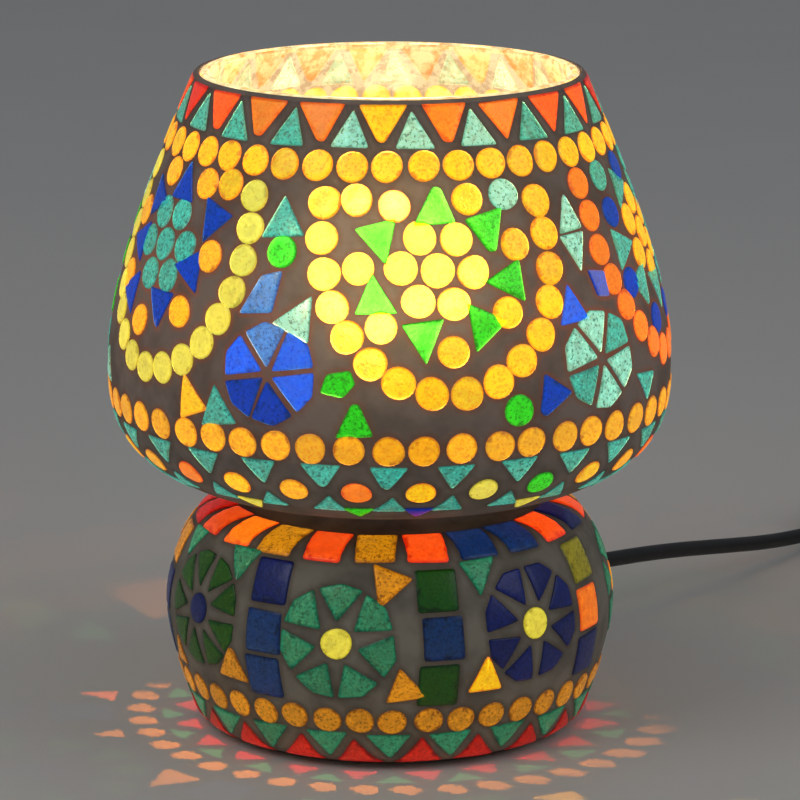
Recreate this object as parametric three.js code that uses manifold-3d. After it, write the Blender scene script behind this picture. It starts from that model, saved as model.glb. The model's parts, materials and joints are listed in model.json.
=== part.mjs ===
// Mosaic glass table lamp: a blown glass body with an open top, covered with coloured glass set in grout, a
// small screw bulb on a spider in its waist, and a mains cord with a rocker switch and a two-pin plug.
// Millimetres, +Z up. The lamp's axis is Z, it stands on Z = 0, and its front faces -Y.

import * as THREE from 'three';
import { mergeVertices } from 'three/addons/utils/BufferGeometryUtils.js';
import Module from 'manifold-3d';

const wasm = await Module();
wasm.setup();

// ---------------------------------------------------------------- driving dimensions

const GAP = 0.3; // left between pieces that touch
const AROUND = 32; // facets around the glass and the mosaic
const MOSAIC_WALL = 2.4; // tiles and grout
const GLASS_WALL = 2.8;

// Outer face of the mosaic as [r, z] curves, from its top edge down. Each row is a cubic curve: two handles
// and the end point.
const RIM = [62.6, 211.2]; // top edge of the mosaic
const SHADE_CURVES = [
  [[75.3, 182.1], [90.8, 144.3], [90.8, 119.0]], // wall, out to the widest point
  [[90.8, 101.5], [87.2, 92.3], [70.0, 83.4]], // curl under
  [[62.0, 79.3], [43.0, 80.5], [43.0, 76.0]], // in to the waist
];
const WAIST = [43.0, 75.6];
const BASE_CURVES = [
  [[43.0, 72.5], [55.5, 75.0], [61.7, 69.3]], // shoulder
  [[67.7, 63.7], [72.9, 50.2], [72.9, 40.0]], // upper half
  [[72.9, 29.8], [67.4, 13.8], [64.6, 6.0]], // lower half
];
const BASE_HEM = [[63.2, 2.2], [59.0, 0.7], [55.5, 0.5]]; // turned under at the floor
const SHADE_STEPS = [4, 4, 4];
const BASE_STEPS = [3, 3, 3];
const HEM_STEPS = 2;
const GLASS_TOP = 212.4; // bare lip above the mosaic
const GLASS_MOUTH = 44.0; // radius of the opening in the bottom
const GLASS_FOOT = [4.6, 7.4]; // bottom and top of the glass around that opening

const FOOT = { inner: 40, outer: 50, height: 1.6 };
const PLATE_THICK = 1.2;
const PLATE_RADIUS = 50.5;

const NIPPLE = { radius: 4.9, bore: 3.6, bottom: 56, top: 84 };
const NIPPLE_HOLE = 5.3; // clearance hole for the nipple
const BAR = { bottom: 64.3, thick: 2, length: 102, width: 12 };
const HUB = { bottom: 75, thick: 1.6, radius: 14 };
const ARM = { count: 3, width: 9, rise: 11.55, reach: 51 };
const PAD = { radius: 47.5, half: 3, thick: 1 };

const HOLDER = { bottom: 78, outer: 14, inner: 12.2, top: 96 };
const BULB_BOTTOM = 93.8;
const CAP_RADIUS = 6.8;
const BULB_RADIUS = 22.5;
const BULB_CENTRE = 145;

const CORD = 2.7; // radius
const CORD_SIDES = 8;
const CORD_TURN = THREE.MathUtils.degToRad(52); // the cord leaves towards the back right
const GLAND = { radius: 71.7, z: 30.5, droop: THREE.MathUtils.degToRad(7), boot: 34 };
const SWITCH = { start: 274, length: 62, width: 24, height: 13, cord: 4.6, pivot: 9.9, rest: 8 };
const COIL = { start: 368, middle: 30.5, column: 5.4, bottom: 1.2, layers: 4 };
const PLUG = { lead: 62, sleeve: 14, body: 36, pin: 19, thick: 13.7, pinRadius: 2, pinSpacing: 19 };

// ---------------------------------------------------------------- finishes

const finish = (color, roughness, metalness = 0) => ({ color, roughness, metalness });
const CLEAR_GLASS = finish(0xf3ead2, 0.05);
const SHADE_TILES = finish(0xe0a020, 0.25);
const BASE_TILES = finish(0x3f7f62, 0.25);
const FELT = finish(0x1c2a20, 0.95);
const RUBBER = finish(0x18181a, 0.8);
const SEALANT = finish(0xb8b4a8, 0.6);
const STEEL = finish(0x8c8d90, 0.35, 1);
const BRASS = finish(0xc79a45, 0.3, 1);
const BLACK_PLASTIC = finish(0x141414, 0.45);
const PALE_PLASTIC = finish(0xd8d2c4, 0.5);
const TUNGSTEN = finish(0xffd9a0, 0.4, 1);

// ---------------------------------------------------------------- helpers

const group = new THREE.Group();
const point = ([r, z]) => new THREE.Vector2(r, z);

// A closed mesh with shared corners, no flat triangles, and its faces pointing out.
function weld(geometry) {
  const bare = new THREE.BufferGeometry();
  bare.setAttribute('position', geometry.getAttribute('position').clone());
  bare.setIndex(geometry.index ? geometry.index.clone() : null);
  const merged = mergeVertices(bare, 1e-4);
  const position = merged.getAttribute('position');
  const kept = [];
  let volume = 0;
  for (let i = 0; i < merged.index.count; i += 3) {
    const corners = [0, 1, 2].map((k) => merged.index.getX(i + k));
    if (new Set(corners).size === 3) {
      kept.push(...corners);
      const [a, b, c] = corners.map((n) => new THREE.Vector3().fromBufferAttribute(position, n));
      volume += a.dot(b.cross(c));
    }
  }
  merged.setIndex(volume > 0 ? kept : kept.reverse());
  return merged;
}

function toSolid(geometry) {
  const welded = weld(geometry);
  const mesh = new wasm.Mesh({
    numProp: 3,
    vertProperties: Float32Array.from(welded.getAttribute('position').array),
    triVerts: Uint32Array.from(welded.index.array),
  });
  return new wasm.Manifold(mesh);
}

function toGeometry(solid) {
  const mesh = solid.getMesh();
  const geometry = new THREE.BufferGeometry();
  geometry.setAttribute('position', new THREE.BufferAttribute(mesh.vertProperties, 3));
  geometry.setIndex(new THREE.BufferAttribute(mesh.triVerts, 1));
  return geometry;
}

function cut(geometry, ...tools) {
  return toGeometry(tools.reduce((rest, tool) => rest.subtract(toSolid(tool)), toSolid(geometry)));
}

function join(first, ...others) {
  return toGeometry(others.reduce((sum, other) => sum.add(toSolid(other)), toSolid(first)));
}

function place(name, geometry, look, parent = group) {
  const mesh = new THREE.Mesh(weld(geometry), new THREE.MeshStandardMaterial(look));
  mesh.name = name;
  parent.add(mesh);
  return mesh;
}

// A turned piece about Z from [r, z] corners that close on themselves or start and end on the axis.
function turned(corners, segments = 24) {
  const lathe = new THREE.LatheGeometry(corners.map(point), segments);
  return lathe.rotateX(Math.PI / 2);
}

// A ring about Z with a rectangular section.
const ring = (inner, outer, bottom, top, segments = 24) =>
  turned([[inner, bottom], [outer, bottom], [outer, top], [inner, top], [inner, bottom]], segments);

// A round bar about Z.
const bar = (radius, bottom, top, segments = 16) =>
  turned([[0, bottom], [radius, bottom], [radius, top], [0, top]], segments);

// The same bar laid along X.
const barAlongX = (radius, from, to, segments = 16) => bar(radius, from, to, segments).rotateY(Math.PI / 2);

// The same bar laid along Y.
const barAlongY = (radius, from, to, segments = 16) => bar(radius, -to, -from, segments).rotateX(Math.PI / 2);

// A block from its lowest to its highest corner.
function block([x0, y0, z0], [x1, y1, z1]) {
  const box = new THREE.BoxGeometry(x1 - x0, y1 - y0, z1 - z0);
  return box.translate((x0 + x1) / 2, (y0 + y1) / 2, (z0 + z1) / 2);
}

// A flat outline of [x, y] corners, raised along Z.
function raised(corners, bottom, top) {
  const shape = new THREE.Shape(corners.map(point));
  const body = new THREE.ExtrudeGeometry(shape, { depth: top - bottom, bevelEnabled: false });
  return body.translate(0, 0, bottom);
}

// A hexagon nut about Z.
function nut(acrossFlats, hole, bottom, top) {
  const outside = new THREE.CylinderGeometry(acrossFlats / Math.sqrt(3), acrossFlats / Math.sqrt(3), top - bottom, 6);
  outside.rotateX(Math.PI / 2).translate(0, 0, (bottom + top) / 2);
  return cut(outside, bar(hole, bottom - 1, top + 1));
}

// A round tube along a curve through the given points.
function cordAlong(points, radius, steps, sides = CORD_SIDES) {
  const path = new THREE.CatmullRomCurve3(points);
  const section = new THREE.Shape();
  for (let k = 0; k < sides; k++) {
    const turn = (2 * Math.PI * k) / sides;
    const corner = [radius * Math.cos(turn), radius * Math.sin(turn)];
    if (k === 0) section.moveTo(...corner);
    else section.lineTo(...corner);
  }
  section.closePath();
  return new THREE.ExtrudeGeometry(section, { steps, extrudePath: path, bevelEnabled: false });
}

// ---------------------------------------------------------------- the outline and its walls

function outline(start, curves, steps) {
  const samples = [];
  let from = start;
  curves.forEach(([first, second, to], i) => {
    const curve = new THREE.CubicBezierCurve(point(from), point(first), point(second), point(to));
    for (let k = i === 0 ? 0 : 1; k <= steps[i]; k++) {
      const along = curve.getTangent(k / steps[i]);
      const inward = new THREE.Vector2(along.y, -along.x);
      samples.push({ on: curve.getPoint(k / steps[i]), along, inward });
    }
    from = to;
  });
  return samples;
}

const sunk = (samples, depth) =>
  samples.map(({ on, inward }) => on.clone().addScaledVector(inward, depth).toArray());

const shadeOutline = outline(RIM, SHADE_CURVES, SHADE_STEPS);
const baseOutline = outline(WAIST, BASE_CURVES, BASE_STEPS);
const hemmedOutline = outline(WAIST, [...BASE_CURVES, BASE_HEM], [...BASE_STEPS, HEM_STEPS]);
const GLASS_DEPTH = MOSAIC_WALL + GAP;
const INNER_DEPTH = GLASS_DEPTH + GLASS_WALL;

function skin(samples) {
  const outer = sunk(samples, 0);
  return turned([...outer, ...sunk(samples, MOSAIC_WALL).reverse(), outer[0]], AROUND);
}

function glassBody() {
  const outer = [...sunk(shadeOutline, GLASS_DEPTH), ...sunk(hemmedOutline, GLASS_DEPTH)];
  const inner = [...sunk(shadeOutline, INNER_DEPTH), ...sunk(baseOutline, INNER_DEPTH)];
  const lip = [[57.1, GLASS_TOP - 0.7], [57.8, GLASS_TOP], [59.4, GLASS_TOP], [60.0, GLASS_TOP - 0.7]];
  const [under, over] = GLASS_FOOT;
  const foot = [[PLATE_RADIUS + 2, under], [GLASS_MOUTH, under], [GLASS_MOUTH, over], [PLATE_RADIUS + 3, over]];
  return turned([...lip, ...outer, ...foot, ...inner.reverse(), lip[0]], AROUND);
}

// ---------------------------------------------------------------- gland frame

// The gland and the cord share this direction: out of the base and slightly down.
const outOfBase = new THREE.Group();
outOfBase.position.set(GLAND.radius * Math.cos(CORD_TURN), GLAND.radius * Math.sin(CORD_TURN), GLAND.z);
outOfBase.rotation.set(0, Math.PI / 2 + GLAND.droop, CORD_TURN, 'ZYX');
outOfBase.updateMatrix();
group.add(outOfBase); // its +Z points out along the cord

const cordHole = (radius) => bar(radius, -20, 12, 16).applyMatrix4(outOfBase.matrix);

// ---------------------------------------------------------------- glass and mosaic

place('glass_body', cut(glassBody(), cordHole(5.0)), CLEAR_GLASS);
place('shade_mosaic', skin(shadeOutline), SHADE_TILES);
place('base_mosaic', cut(skin(hemmedOutline), cordHole(5.0)), BASE_TILES);

// ---------------------------------------------------------------- bottom

const PLATE_BOTTOM = FOOT.height + GAP;
const DISH_RISE = 3;
const DISH_RADIUS = 36;

function basePlate() {
  const top = PLATE_BOTTOM + PLATE_THICK;
  return turned([
    [0, PLATE_BOTTOM + DISH_RISE], [DISH_RADIUS, PLATE_BOTTOM + DISH_RISE], [DISH_RADIUS + 2.5, PLATE_BOTTOM],
    [PLATE_RADIUS, PLATE_BOTTOM], [PLATE_RADIUS, top], [DISH_RADIUS + 3, top],
    [DISH_RADIUS + 0.5, top + DISH_RISE], [0, top + DISH_RISE],
  ], AROUND);
}

place('foot_ring', ring(FOOT.inner, FOOT.outer, 0, FOOT.height, AROUND), FELT);
place('base_plate', basePlate(), STEEL);
place('plate_sealant', ring(GLASS_MOUTH + 0.5, PLATE_RADIUS, PLATE_BOTTOM + PLATE_THICK + GAP,
  GLASS_FOOT[0] - GAP, AROUND), SEALANT);

// ---------------------------------------------------------------- spider and clamp in the waist

// One arm in the plane of X and Z: out of the hub, up a slope, and flat on its pad.
function spiderArm() {
  const low = HUB.bottom;
  const high = low + ARM.rise;
  const corners = [
    [8, low], [15, low], [33, high], [ARM.reach, high],
    [ARM.reach, high + HUB.thick], [32.4, high + HUB.thick], [14.4, low + HUB.thick], [8, low + HUB.thick],
  ];
  const strip = raised(corners, -ARM.width / 2, ARM.width / 2);
  return strip.rotateX(Math.PI / 2);
}

function spider() {
  const arms = [];
  for (let k = 0; k < ARM.count; k++) arms.push(spiderArm().rotateZ(armTurn(k)));
  const hub = bar(HUB.radius, HUB.bottom, HUB.bottom + HUB.thick, 24);
  return cut(join(hub, ...arms), bar(NIPPLE_HOLE, HUB.bottom - 1, HUB.bottom + HUB.thick + 1));
}

const armTurn = (k) => -Math.PI / 2 + (2 * Math.PI * k) / ARM.count;
const pad = (bottom) =>
  block([PAD.radius - PAD.half, -PAD.half, bottom], [PAD.radius + PAD.half, PAD.half, bottom + PAD.thick]);

place('spider', spider(), STEEL);
for (let k = 0; k < ARM.count; k++) {
  const onGlass = pad(HUB.bottom + ARM.rise - GAP - PAD.thick).rotateZ(armTurn(k));
  place(`spider_pad_${k + 1}`, onGlass, RUBBER);
}

const BAR_TOP = BAR.bottom + BAR.thick;
const clampBar = block([-BAR.length / 2, -BAR.width / 2, BAR.bottom], [BAR.length / 2, BAR.width / 2, BAR_TOP]);
place('clamp_bar', cut(clampBar, bar(NIPPLE_HOLE, BAR.bottom - 1, BAR_TOP + 1)), STEEL);
place('clamp_pad_left', pad(BAR_TOP + GAP).rotateZ(Math.PI), RUBBER);
place('clamp_pad_right', pad(BAR_TOP + GAP), RUBBER);

place('nipple', ring(NIPPLE.bore, NIPPLE.radius, NIPPLE.bottom, NIPPLE.top), STEEL);
const WASHER_THICK = 1.2;
const WASHER_BOTTOM = BAR.bottom - GAP - WASHER_THICK;
place('clamp_washer', ring(NIPPLE_HOLE, 9.5, WASHER_BOTTOM, BAR.bottom - GAP), STEEL);
place('clamp_nut', nut(14, NIPPLE_HOLE, WASHER_BOTTOM - GAP - 5, WASHER_BOTTOM - GAP), STEEL);
place('lock_washer', ring(NIPPLE_HOLE, 8.5, HUB.bottom + HUB.thick + GAP, HOLDER.bottom - GAP), STEEL);

// ---------------------------------------------------------------- lamp holder

const BOSS = { radius: 7.3, top: 84.6 };
const CORE = { bottom: 88, top: 92, radius: 11.7 };
const SLEEVE = { inner: 7.3, outer: 7.9, top: 112 };
const TERMINAL = { offset: 9.4, radius: 1.6, bottom: 84.2 };

function holderBase() {
  const { bottom, outer, inner, top } = HOLDER;
  return turned([
    [NIPPLE_HOLE, bottom], [outer - 1, bottom], [outer, bottom + 1], [outer, top], [inner, top],
    [inner, bottom + 3], [BOSS.radius, bottom + 3], [BOSS.radius, BOSS.top], [NIPPLE_HOLE, BOSS.top],
    [NIPPLE_HOLE, bottom],
  ]);
}

const grubHole = barAlongX(1.7, 4, BOSS.radius + 1, 10).translate(0, 0, 82.8);
place('holder_base', cut(holderBase(), grubHole), BLACK_PLASTIC);
place('holder_grub_screw', barAlongX(1.3, NIPPLE.radius + GAP, 10, 10).translate(0, 0, 82.8), STEEL);
place('holder_shell', turned([
  [13.3, HOLDER.top + GAP], [13.3, 115.2], [12.5, 116], [8.6, 116], [8.6, 114], [11.9, 114],
  [11.9, HOLDER.top + GAP], [13.3, HOLDER.top + GAP],
]), BLACK_PLASTIC);
place('holder_core', turned([
  [0, CORE.bottom], [CORE.radius, CORE.bottom], [CORE.radius, CORE.top + 1.4], [SLEEVE.outer + 1.2, CORE.top + 1.4],
  [SLEEVE.outer + 1.2, CORE.top], [0, CORE.top],
]), PALE_PLASTIC);
place('thread_sleeve', ring(SLEEVE.inner, SLEEVE.outer, CORE.top + GAP, SLEEVE.top), BRASS);
place('centre_contact', block([-5.5, -1.6, CORE.top + GAP], [5.5, 1.6, CORE.top + 0.9]), BRASS);
place('side_contact', block([SLEEVE.outer + GAP, -1.6, CORE.top + 1.8], [SLEEVE.outer + 0.9, 1.6, 103]), BRASS);
for (const [name, side] of [['terminal_screw_live', 1], ['terminal_screw_neutral', -1]]) {
  const screw = bar(TERMINAL.radius, TERMINAL.bottom, CORE.bottom - GAP, 12);
  place(name, screw.translate(0, side * TERMINAL.offset, 0), BRASS);
}

// ---------------------------------------------------------------- bulb

const bulb = new THREE.Group();
bulb.position.z = BULB_BOTTOM;
group.add(bulb);
const CAP_BOTTOM = 5.0;
const CAP_TOP = 25.2;
const NECK = 5.9;
const NECK_BOTTOM = 18;
const ENVELOPE = 0.9;
const CENTRE = BULB_CENTRE - BULB_BOTTOM;

// The envelope's outside, from the open neck to the crown.
function envelopeCurve(shrink) {
  const radius = BULB_RADIUS - shrink;
  const flare = new THREE.CubicBezierCurve(
    point([NECK - shrink, CAP_TOP + 1]), point([NECK - shrink, 33]),
    point([radius * 0.86, 33]), point([radius * 0.97, CENTRE - radius * 0.24]),
  );
  const corners = [[NECK - shrink, NECK_BOTTOM], ...flare.getPoints(5).map((p) => p.toArray())];
  for (let k = 1; k <= 7; k++) {
    const turn = THREE.MathUtils.lerp(-0.245, Math.PI / 2, k / 7);
    corners.push([radius * Math.cos(turn), CENTRE + radius * Math.sin(turn)]);
  }
  corners[corners.length - 1][0] = 0;
  return corners;
}

place('bulb_contact', turned([[0, 0], [1.6, 0.2], [2.4, 1], [2.4, 1.4], [0, 1.4]], 16), STEEL, bulb);
place('bulb_insulator', turned([[0, 1.7], [3, 1.7], [5.6, 4.7], [0, 4.7]], 16), BLACK_PLASTIC, bulb);
place('bulb_cap', turned([
  [3.4, CAP_BOTTOM], [6.2, CAP_BOTTOM], [CAP_RADIUS, CAP_BOTTOM + 1], [CAP_RADIUS, CAP_TOP],
  [NECK + GAP, CAP_TOP], [NECK + GAP, CAP_BOTTOM + 1.4], [3.4, CAP_BOTTOM + 0.6], [3.4, CAP_BOTTOM],
], 20), BRASS, bulb);
place('bulb_glass', turned([
  ...envelopeCurve(0), ...envelopeCurve(ENVELOPE).reverse(), [NECK, NECK_BOTTOM],
], 20), CLEAR_GLASS, bulb);
place('bulb_stem', turned([
  [0, 19], [4.6, 19], [4.6, 20.2], [2.2, 23], [1.7, 37], [2.4, 38.5], [0, 39.2],
], 12), CLEAR_GLASS, bulb);

const FILAMENT_Z = 47;
const LEAD_END = 9;
for (const [name, side] of [['lead_wire_left', -1], ['lead_wire_right', 1]]) {
  const route = [[2.9, 36], [4, 39], [7, 43.5], [LEAD_END, FILAMENT_Z - 0.8]];
  const points = route.map(([x, z]) => new THREE.Vector3(side * x, 0, z));
  place(name, cordAlong(points, 0.3, 5, 6), STEEL, bulb);
}
const filamentRoute = [[-LEAD_END, 0], [-5, -3.5], [0, -4.8], [5, -3.5], [LEAD_END, 0]];
const filamentPoints = filamentRoute.map(([x, y]) => new THREE.Vector3(x, y, FILAMENT_Z));
place('filament', cordAlong(filamentPoints, 0.4, 8, 6), TUNGSTEN, bulb);

// ---------------------------------------------------------------- gland, and the cord inside the base

const FLANGE = { radius: 8, start: 0.9, thick: 2 };
const BARREL = { radius: 4.6, inner: -11.5 };
place('cord_gland', turned([
  [0, BARREL.inner], [BARREL.radius, BARREL.inner], [BARREL.radius, FLANGE.start], [FLANGE.radius, FLANGE.start],
  [FLANGE.radius - 0.6, FLANGE.start + FLANGE.thick], [5.6, FLANGE.start + FLANGE.thick], [3.6, GLAND.boot],
  [0, GLAND.boot],
], 16), RUBBER, outOfBase);
place('gland_nut', nut(13, 4.9, -10.6, -7), BLACK_PLASTIC, outOfBase);

// [distance from the axis, height] of the cord from the gland to the top of the nipple
const INNER_ROUTE = [
  [59.4, 31.9], [50, 30.8], [38, 30], [24, 30], [14.8, 31.9], [7, 37], [1.9, 44.8], [0, 54], [0, 64], [0, 84.4],
];
const towardsCord = ([along, z]) =>
  new THREE.Vector3(along * Math.cos(CORD_TURN), along * Math.sin(CORD_TURN), z);
place('inner_cord', cordAlong(INNER_ROUTE.map(towardsCord), CORD, 16), RUBBER);
for (const [name, side] of [['core_live', 1], ['core_neutral', -1]]) {
  const route = [[1.3, 85.5], [3.2, 86.3], [5.3, 86.4], [TERMINAL.offset - TERMINAL.radius - GAP, 86]];
  const points = route.map(([y, z]) => new THREE.Vector3(0, side * y, z));
  place(name, cordAlong(points, 0.7, 4, 6), BRASS);
}

// ---------------------------------------------------------------- the free cord

// [distance from the axis, height] along the direction in which the cord leaves
const LAMP_ROUTE = [
  [105.7, 26.3], [125, 23.9], [145, 21.4], [165, 18.5], [185, 15.2], [205, 11.8], [225, 8.6], [245, 6.2],
  [262, 4.9], [273.7, 4.6],
];
const MIDDLE_ROUTE = [[336.3, 4.6], [340, 4.5], [344, 4.2], [347.5, 3.9]];
place('cord_to_switch', cordAlong(LAMP_ROUTE.map(towardsCord), CORD, 14), RUBBER);
place('cord_to_coil', cordAlong(MIDDLE_ROUTE.map(towardsCord), CORD, 3), RUBBER);

const heading = towardsCord([1, 0]);
const rightOf = new THREE.Vector3(heading.y, -heading.x, 0); // to the right of the cord's heading
const COIL_TOP = COIL.bottom + COIL.layers * 2 * CORD;
const COIL_OUTER = COIL.middle + COIL.column;
const COIL_INNER = COIL.middle - COIL.column;
const outerTurn = COIL.middle + CORD;

const coil = new THREE.Group();
coil.position.copy(heading).multiplyScalar(COIL.start).addScaledVector(rightOf, outerTurn);
coil.rotation.z = CORD_TURN;
group.add(coil);
place('cord_coil', ring(COIL_INNER, COIL_OUTER, COIL.bottom, COIL_TOP, 32), RUBBER, coil);

function tie() {
  const inside = [COIL_INNER - 0.6, COIL_OUTER + 0.5];
  const strap = 0.6;
  const outer = block([inside[0] - strap, -3.5, GAP], [inside[1] + strap, 3.5, COIL_TOP + GAP + strap]);
  const hollow = block([inside[0], -4, COIL.bottom - GAP], [inside[1], 4, COIL_TOP + GAP]);
  return cut(outer, hollow);
}
place('cord_tie', tie(), RUBBER, coil);

// ---------------------------------------------------------------- plug

// The plug's +X is the way its pins point, back towards the lamp, beside the coil.
const plug = new THREE.Group();
plug.position.copy(coil.position).addScaledVector(rightOf, outerTurn).addScaledVector(heading, -PLUG.lead);
plug.rotation.z = CORD_TURN + Math.PI;
group.add(plug);
const PLUG_AXIS = PLUG.thick / 2;

// From the coil's top outer turn down to the plug, in the plug's own frame.
const PLUG_ROUTE = [[-42, 18.6], [-33, 15.8], [-24, 12.2], [-15, 9.2], [-7, 7.4], [-0.3, 6.85]];
const plugPoints = PLUG_ROUTE.map(([x, z]) => new THREE.Vector3(x, 0, z));
place('cord_to_plug', cordAlong(plugPoints, CORD, 4), RUBBER, plug);
place('plug_sleeve', turned([
  [0, 0], [3.6, 0], [5.8, PLUG.sleeve - GAP], [0, PLUG.sleeve - GAP],
], 16).rotateY(Math.PI / 2).translate(0, 0, PLUG_AXIS), RUBBER, plug);

function plugBody() {
  const bevel = 1.2;
  const start = PLUG.sleeve + bevel;
  const end = PLUG.sleeve + PLUG.body - bevel;
  const half = 17.6 - bevel;
  const outlineOfBody = [
    [start, -6], [start + 7, -half + 3], [start + 18, -half], [end, -half],
    [end, half], [start + 18, half], [start + 7, half - 3], [start, 6],
  ];
  const shape = new THREE.Shape(outlineOfBody.map(point));
  const body = new THREE.ExtrudeGeometry(shape, {
    depth: PLUG.thick - 2 * bevel, bevelThickness: bevel, bevelSize: bevel, bevelSegments: 1,
  });
  return body.translate(0, 0, bevel);
}
place('plug_body', plugBody(), BLACK_PLASTIC, plug);
const PIN_START = PLUG.sleeve + PLUG.body + GAP;
for (const [name, side] of [['plug_pin_left', -1], ['plug_pin_right', 1]]) {
  const pin = barAlongX(PLUG.pinRadius, PIN_START, PIN_START + PLUG.pin, 12);
  place(name, pin.translate(0, (side * PLUG.pinSpacing) / 2, PLUG_AXIS), BRASS, plug);
}

// ---------------------------------------------------------------- in-line switch

// The switch's +X runs along the cord, away from the lamp.
const switchGroup = new THREE.Group();
switchGroup.position.copy(heading).multiplyScalar(SWITCH.start + SWITCH.length / 2);
switchGroup.rotation.z = CORD_TURN;
group.add(switchGroup);

const SPLIT = 6.3; // where the two halves of the housing meet
const CAVITY = [17, 9.8];
const WINDOW = [9.4, 5.6];
const ROOF = 11.2;
const SCREWS = [[24, 7.5], [-24, -7.5]];

function housingBlank(bottom, top) {
  const corner = 9;
  const [x, y] = [SWITCH.length / 2 - corner, SWITCH.width / 2 - corner];
  const corners = [];
  [[x, y], [-x, y], [-x, -y], [x, -y]].forEach(([cx, cy], quarter) => {
    for (let k = 0; k <= 4; k++) {
      const turn = (Math.PI / 2) * (quarter + k / 4);
      corners.push([cx + corner * Math.cos(turn), cy + corner * Math.sin(turn)]);
    }
  });
  return raised(corners, bottom, top);
}

const cordChannel = () => barAlongX(3.1, -40, 40, 12).translate(0, 0, SWITCH.cord);
const cavity = (bottom, top) => block([-CAVITY[0], -CAVITY[1], bottom], [CAVITY[0], CAVITY[1], top]);
const screwHoles = (radius, bottom, top) =>
  SCREWS.map(([x, y]) => bar(radius, bottom, top, 12).translate(x, y, 0));

place('switch_lower_housing', cut(housingBlank(0, SPLIT), cavity(1.8, SPLIT + 1), cordChannel(),
  ...screwHoles(2.9, -1, 1.8), ...screwHoles(1.6, 1, SPLIT + 1)), BLACK_PLASTIC, switchGroup);
place('switch_upper_housing', cut(housingBlank(SPLIT + GAP, SWITCH.height), cavity(SPLIT - 1, ROOF), cordChannel(),
  block([-WINDOW[0], -WINDOW[1], ROOF - 1], [WINDOW[0], WINDOW[1], SWITCH.height + 1]),
  barAlongY(1.25, -11.4, 11.4, 12).translate(0, 0, SWITCH.pivot),
  ...screwHoles(1.6, SPLIT - 1, 10.6)), BLACK_PLASTIC, switchGroup);
SCREWS.forEach(([x, y], k) => {
  const screw = turned([[0, 0.3], [2.5, 0.3], [2.5, 1.5], [1.2, 1.5], [1.2, 10.2], [0, 10.2]], 12);
  place(`switch_screw_${k + 1}`, screw.translate(x, y, 0), STEEL, switchGroup);
});
for (const [name, side] of [['switch_contact_left', 1], ['switch_contact_right', -1]]) {
  const strip = [side * 8.3, side * 8.9].sort((a, b) => a - b);
  place(name, block([-7, strip[0], 2.4], [7, strip[1], 7.6]), BRASS, switchGroup);
}

const rockerFrame = new THREE.Group();
rockerFrame.position.z = SWITCH.pivot;
switchGroup.add(rockerFrame);
place('rocker_pin', barAlongY(0.95, -11, 11, 12), STEEL, rockerFrame);

const rocker = new THREE.Group();
rocker.rotation.y = THREE.MathUtils.degToRad(-SWITCH.rest); // the end towards the lamp is pressed
rockerFrame.add(rocker);
const rockerSide = [
  [-8.6, 0.6], [-3, -1.6], [3, -1.6], [8.6, 0.6], [8.6, 3.3], [4.3, 2.4], [0, 2.1], [-4.3, 2.4], [-8.6, 3.3],
];
const rockerBlank = raised(rockerSide, -5.2, 5.2).rotateX(Math.PI / 2);
place('switch_rocker', cut(rockerBlank, barAlongY(1.25, -6, 6, 12)), BLACK_PLASTIC, rocker);

export default group;
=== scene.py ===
"""A mosaic glass table lamp, lit from inside: an open shade and a round base in one blown glass body,
covered with cut pieces of coloured glass set in grout. The sizes are in metres, in the frame of the
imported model."""

import json
import math
import random

import bmesh
import bpy
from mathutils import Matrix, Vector


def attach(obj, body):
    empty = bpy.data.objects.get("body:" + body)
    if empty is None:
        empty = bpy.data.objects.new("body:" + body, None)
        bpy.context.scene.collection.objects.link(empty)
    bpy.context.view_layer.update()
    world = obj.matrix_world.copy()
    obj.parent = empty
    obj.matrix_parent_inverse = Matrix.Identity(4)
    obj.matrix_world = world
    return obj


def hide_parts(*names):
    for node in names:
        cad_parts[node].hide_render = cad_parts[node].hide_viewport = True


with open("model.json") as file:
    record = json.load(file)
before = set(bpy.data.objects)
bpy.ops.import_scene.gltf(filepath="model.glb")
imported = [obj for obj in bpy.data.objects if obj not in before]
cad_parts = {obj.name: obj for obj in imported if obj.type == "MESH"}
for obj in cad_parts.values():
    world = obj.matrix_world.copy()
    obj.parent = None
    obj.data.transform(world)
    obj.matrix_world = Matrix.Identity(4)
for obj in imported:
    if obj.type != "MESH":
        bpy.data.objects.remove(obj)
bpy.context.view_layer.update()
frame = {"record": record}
chance = random.Random(41)

scene = bpy.context.scene
scene.view_settings.view_transform = "Standard"

# ---------------------------------------------------------------- camera

CAMERA_PLACE = (0.0033, -1.291, 0.411)
CAMERA_TILT = math.radians(76.65)
CAMERA_LENS = 185.1

camera = bpy.data.objects.new("camera", bpy.data.cameras.new("camera"))
camera.data.lens = CAMERA_LENS
camera.data.sensor_width = 36
camera.location = CAMERA_PLACE
camera.rotation_euler = (CAMERA_TILT, 0, 0)
scene.collection.objects.link(camera)
scene.camera = camera

# ---------------------------------------------------------------- meshes and pieces

BODY_OF = {node: body for body, nodes in frame["record"]["behaviour"]["bodies"].items() for node in nodes}


def add_piece(name, data, materials, body="lamp", replaces=()):
    """A visible piece that rides on a body and stands for the CAD nodes named."""
    piece = bpy.data.objects.new(name, data)
    scene.collection.objects.link(piece)
    for material in materials:
        data.materials.append(material)
    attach(piece, body)
    if replaces:
        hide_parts(*replaces)
    return piece


def mesh_of(name, corners, faces, smooth_below=35):
    """A mesh with smooth shading, except over edges sharper than the angle given in degrees."""
    mesh = bpy.data.meshes.new(name)
    mesh.from_pydata([tuple(corner) for corner in corners], [], faces)
    mesh.shade_smooth()
    mesh.set_sharp_from_angle(angle=math.radians(smooth_below))
    return mesh


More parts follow.
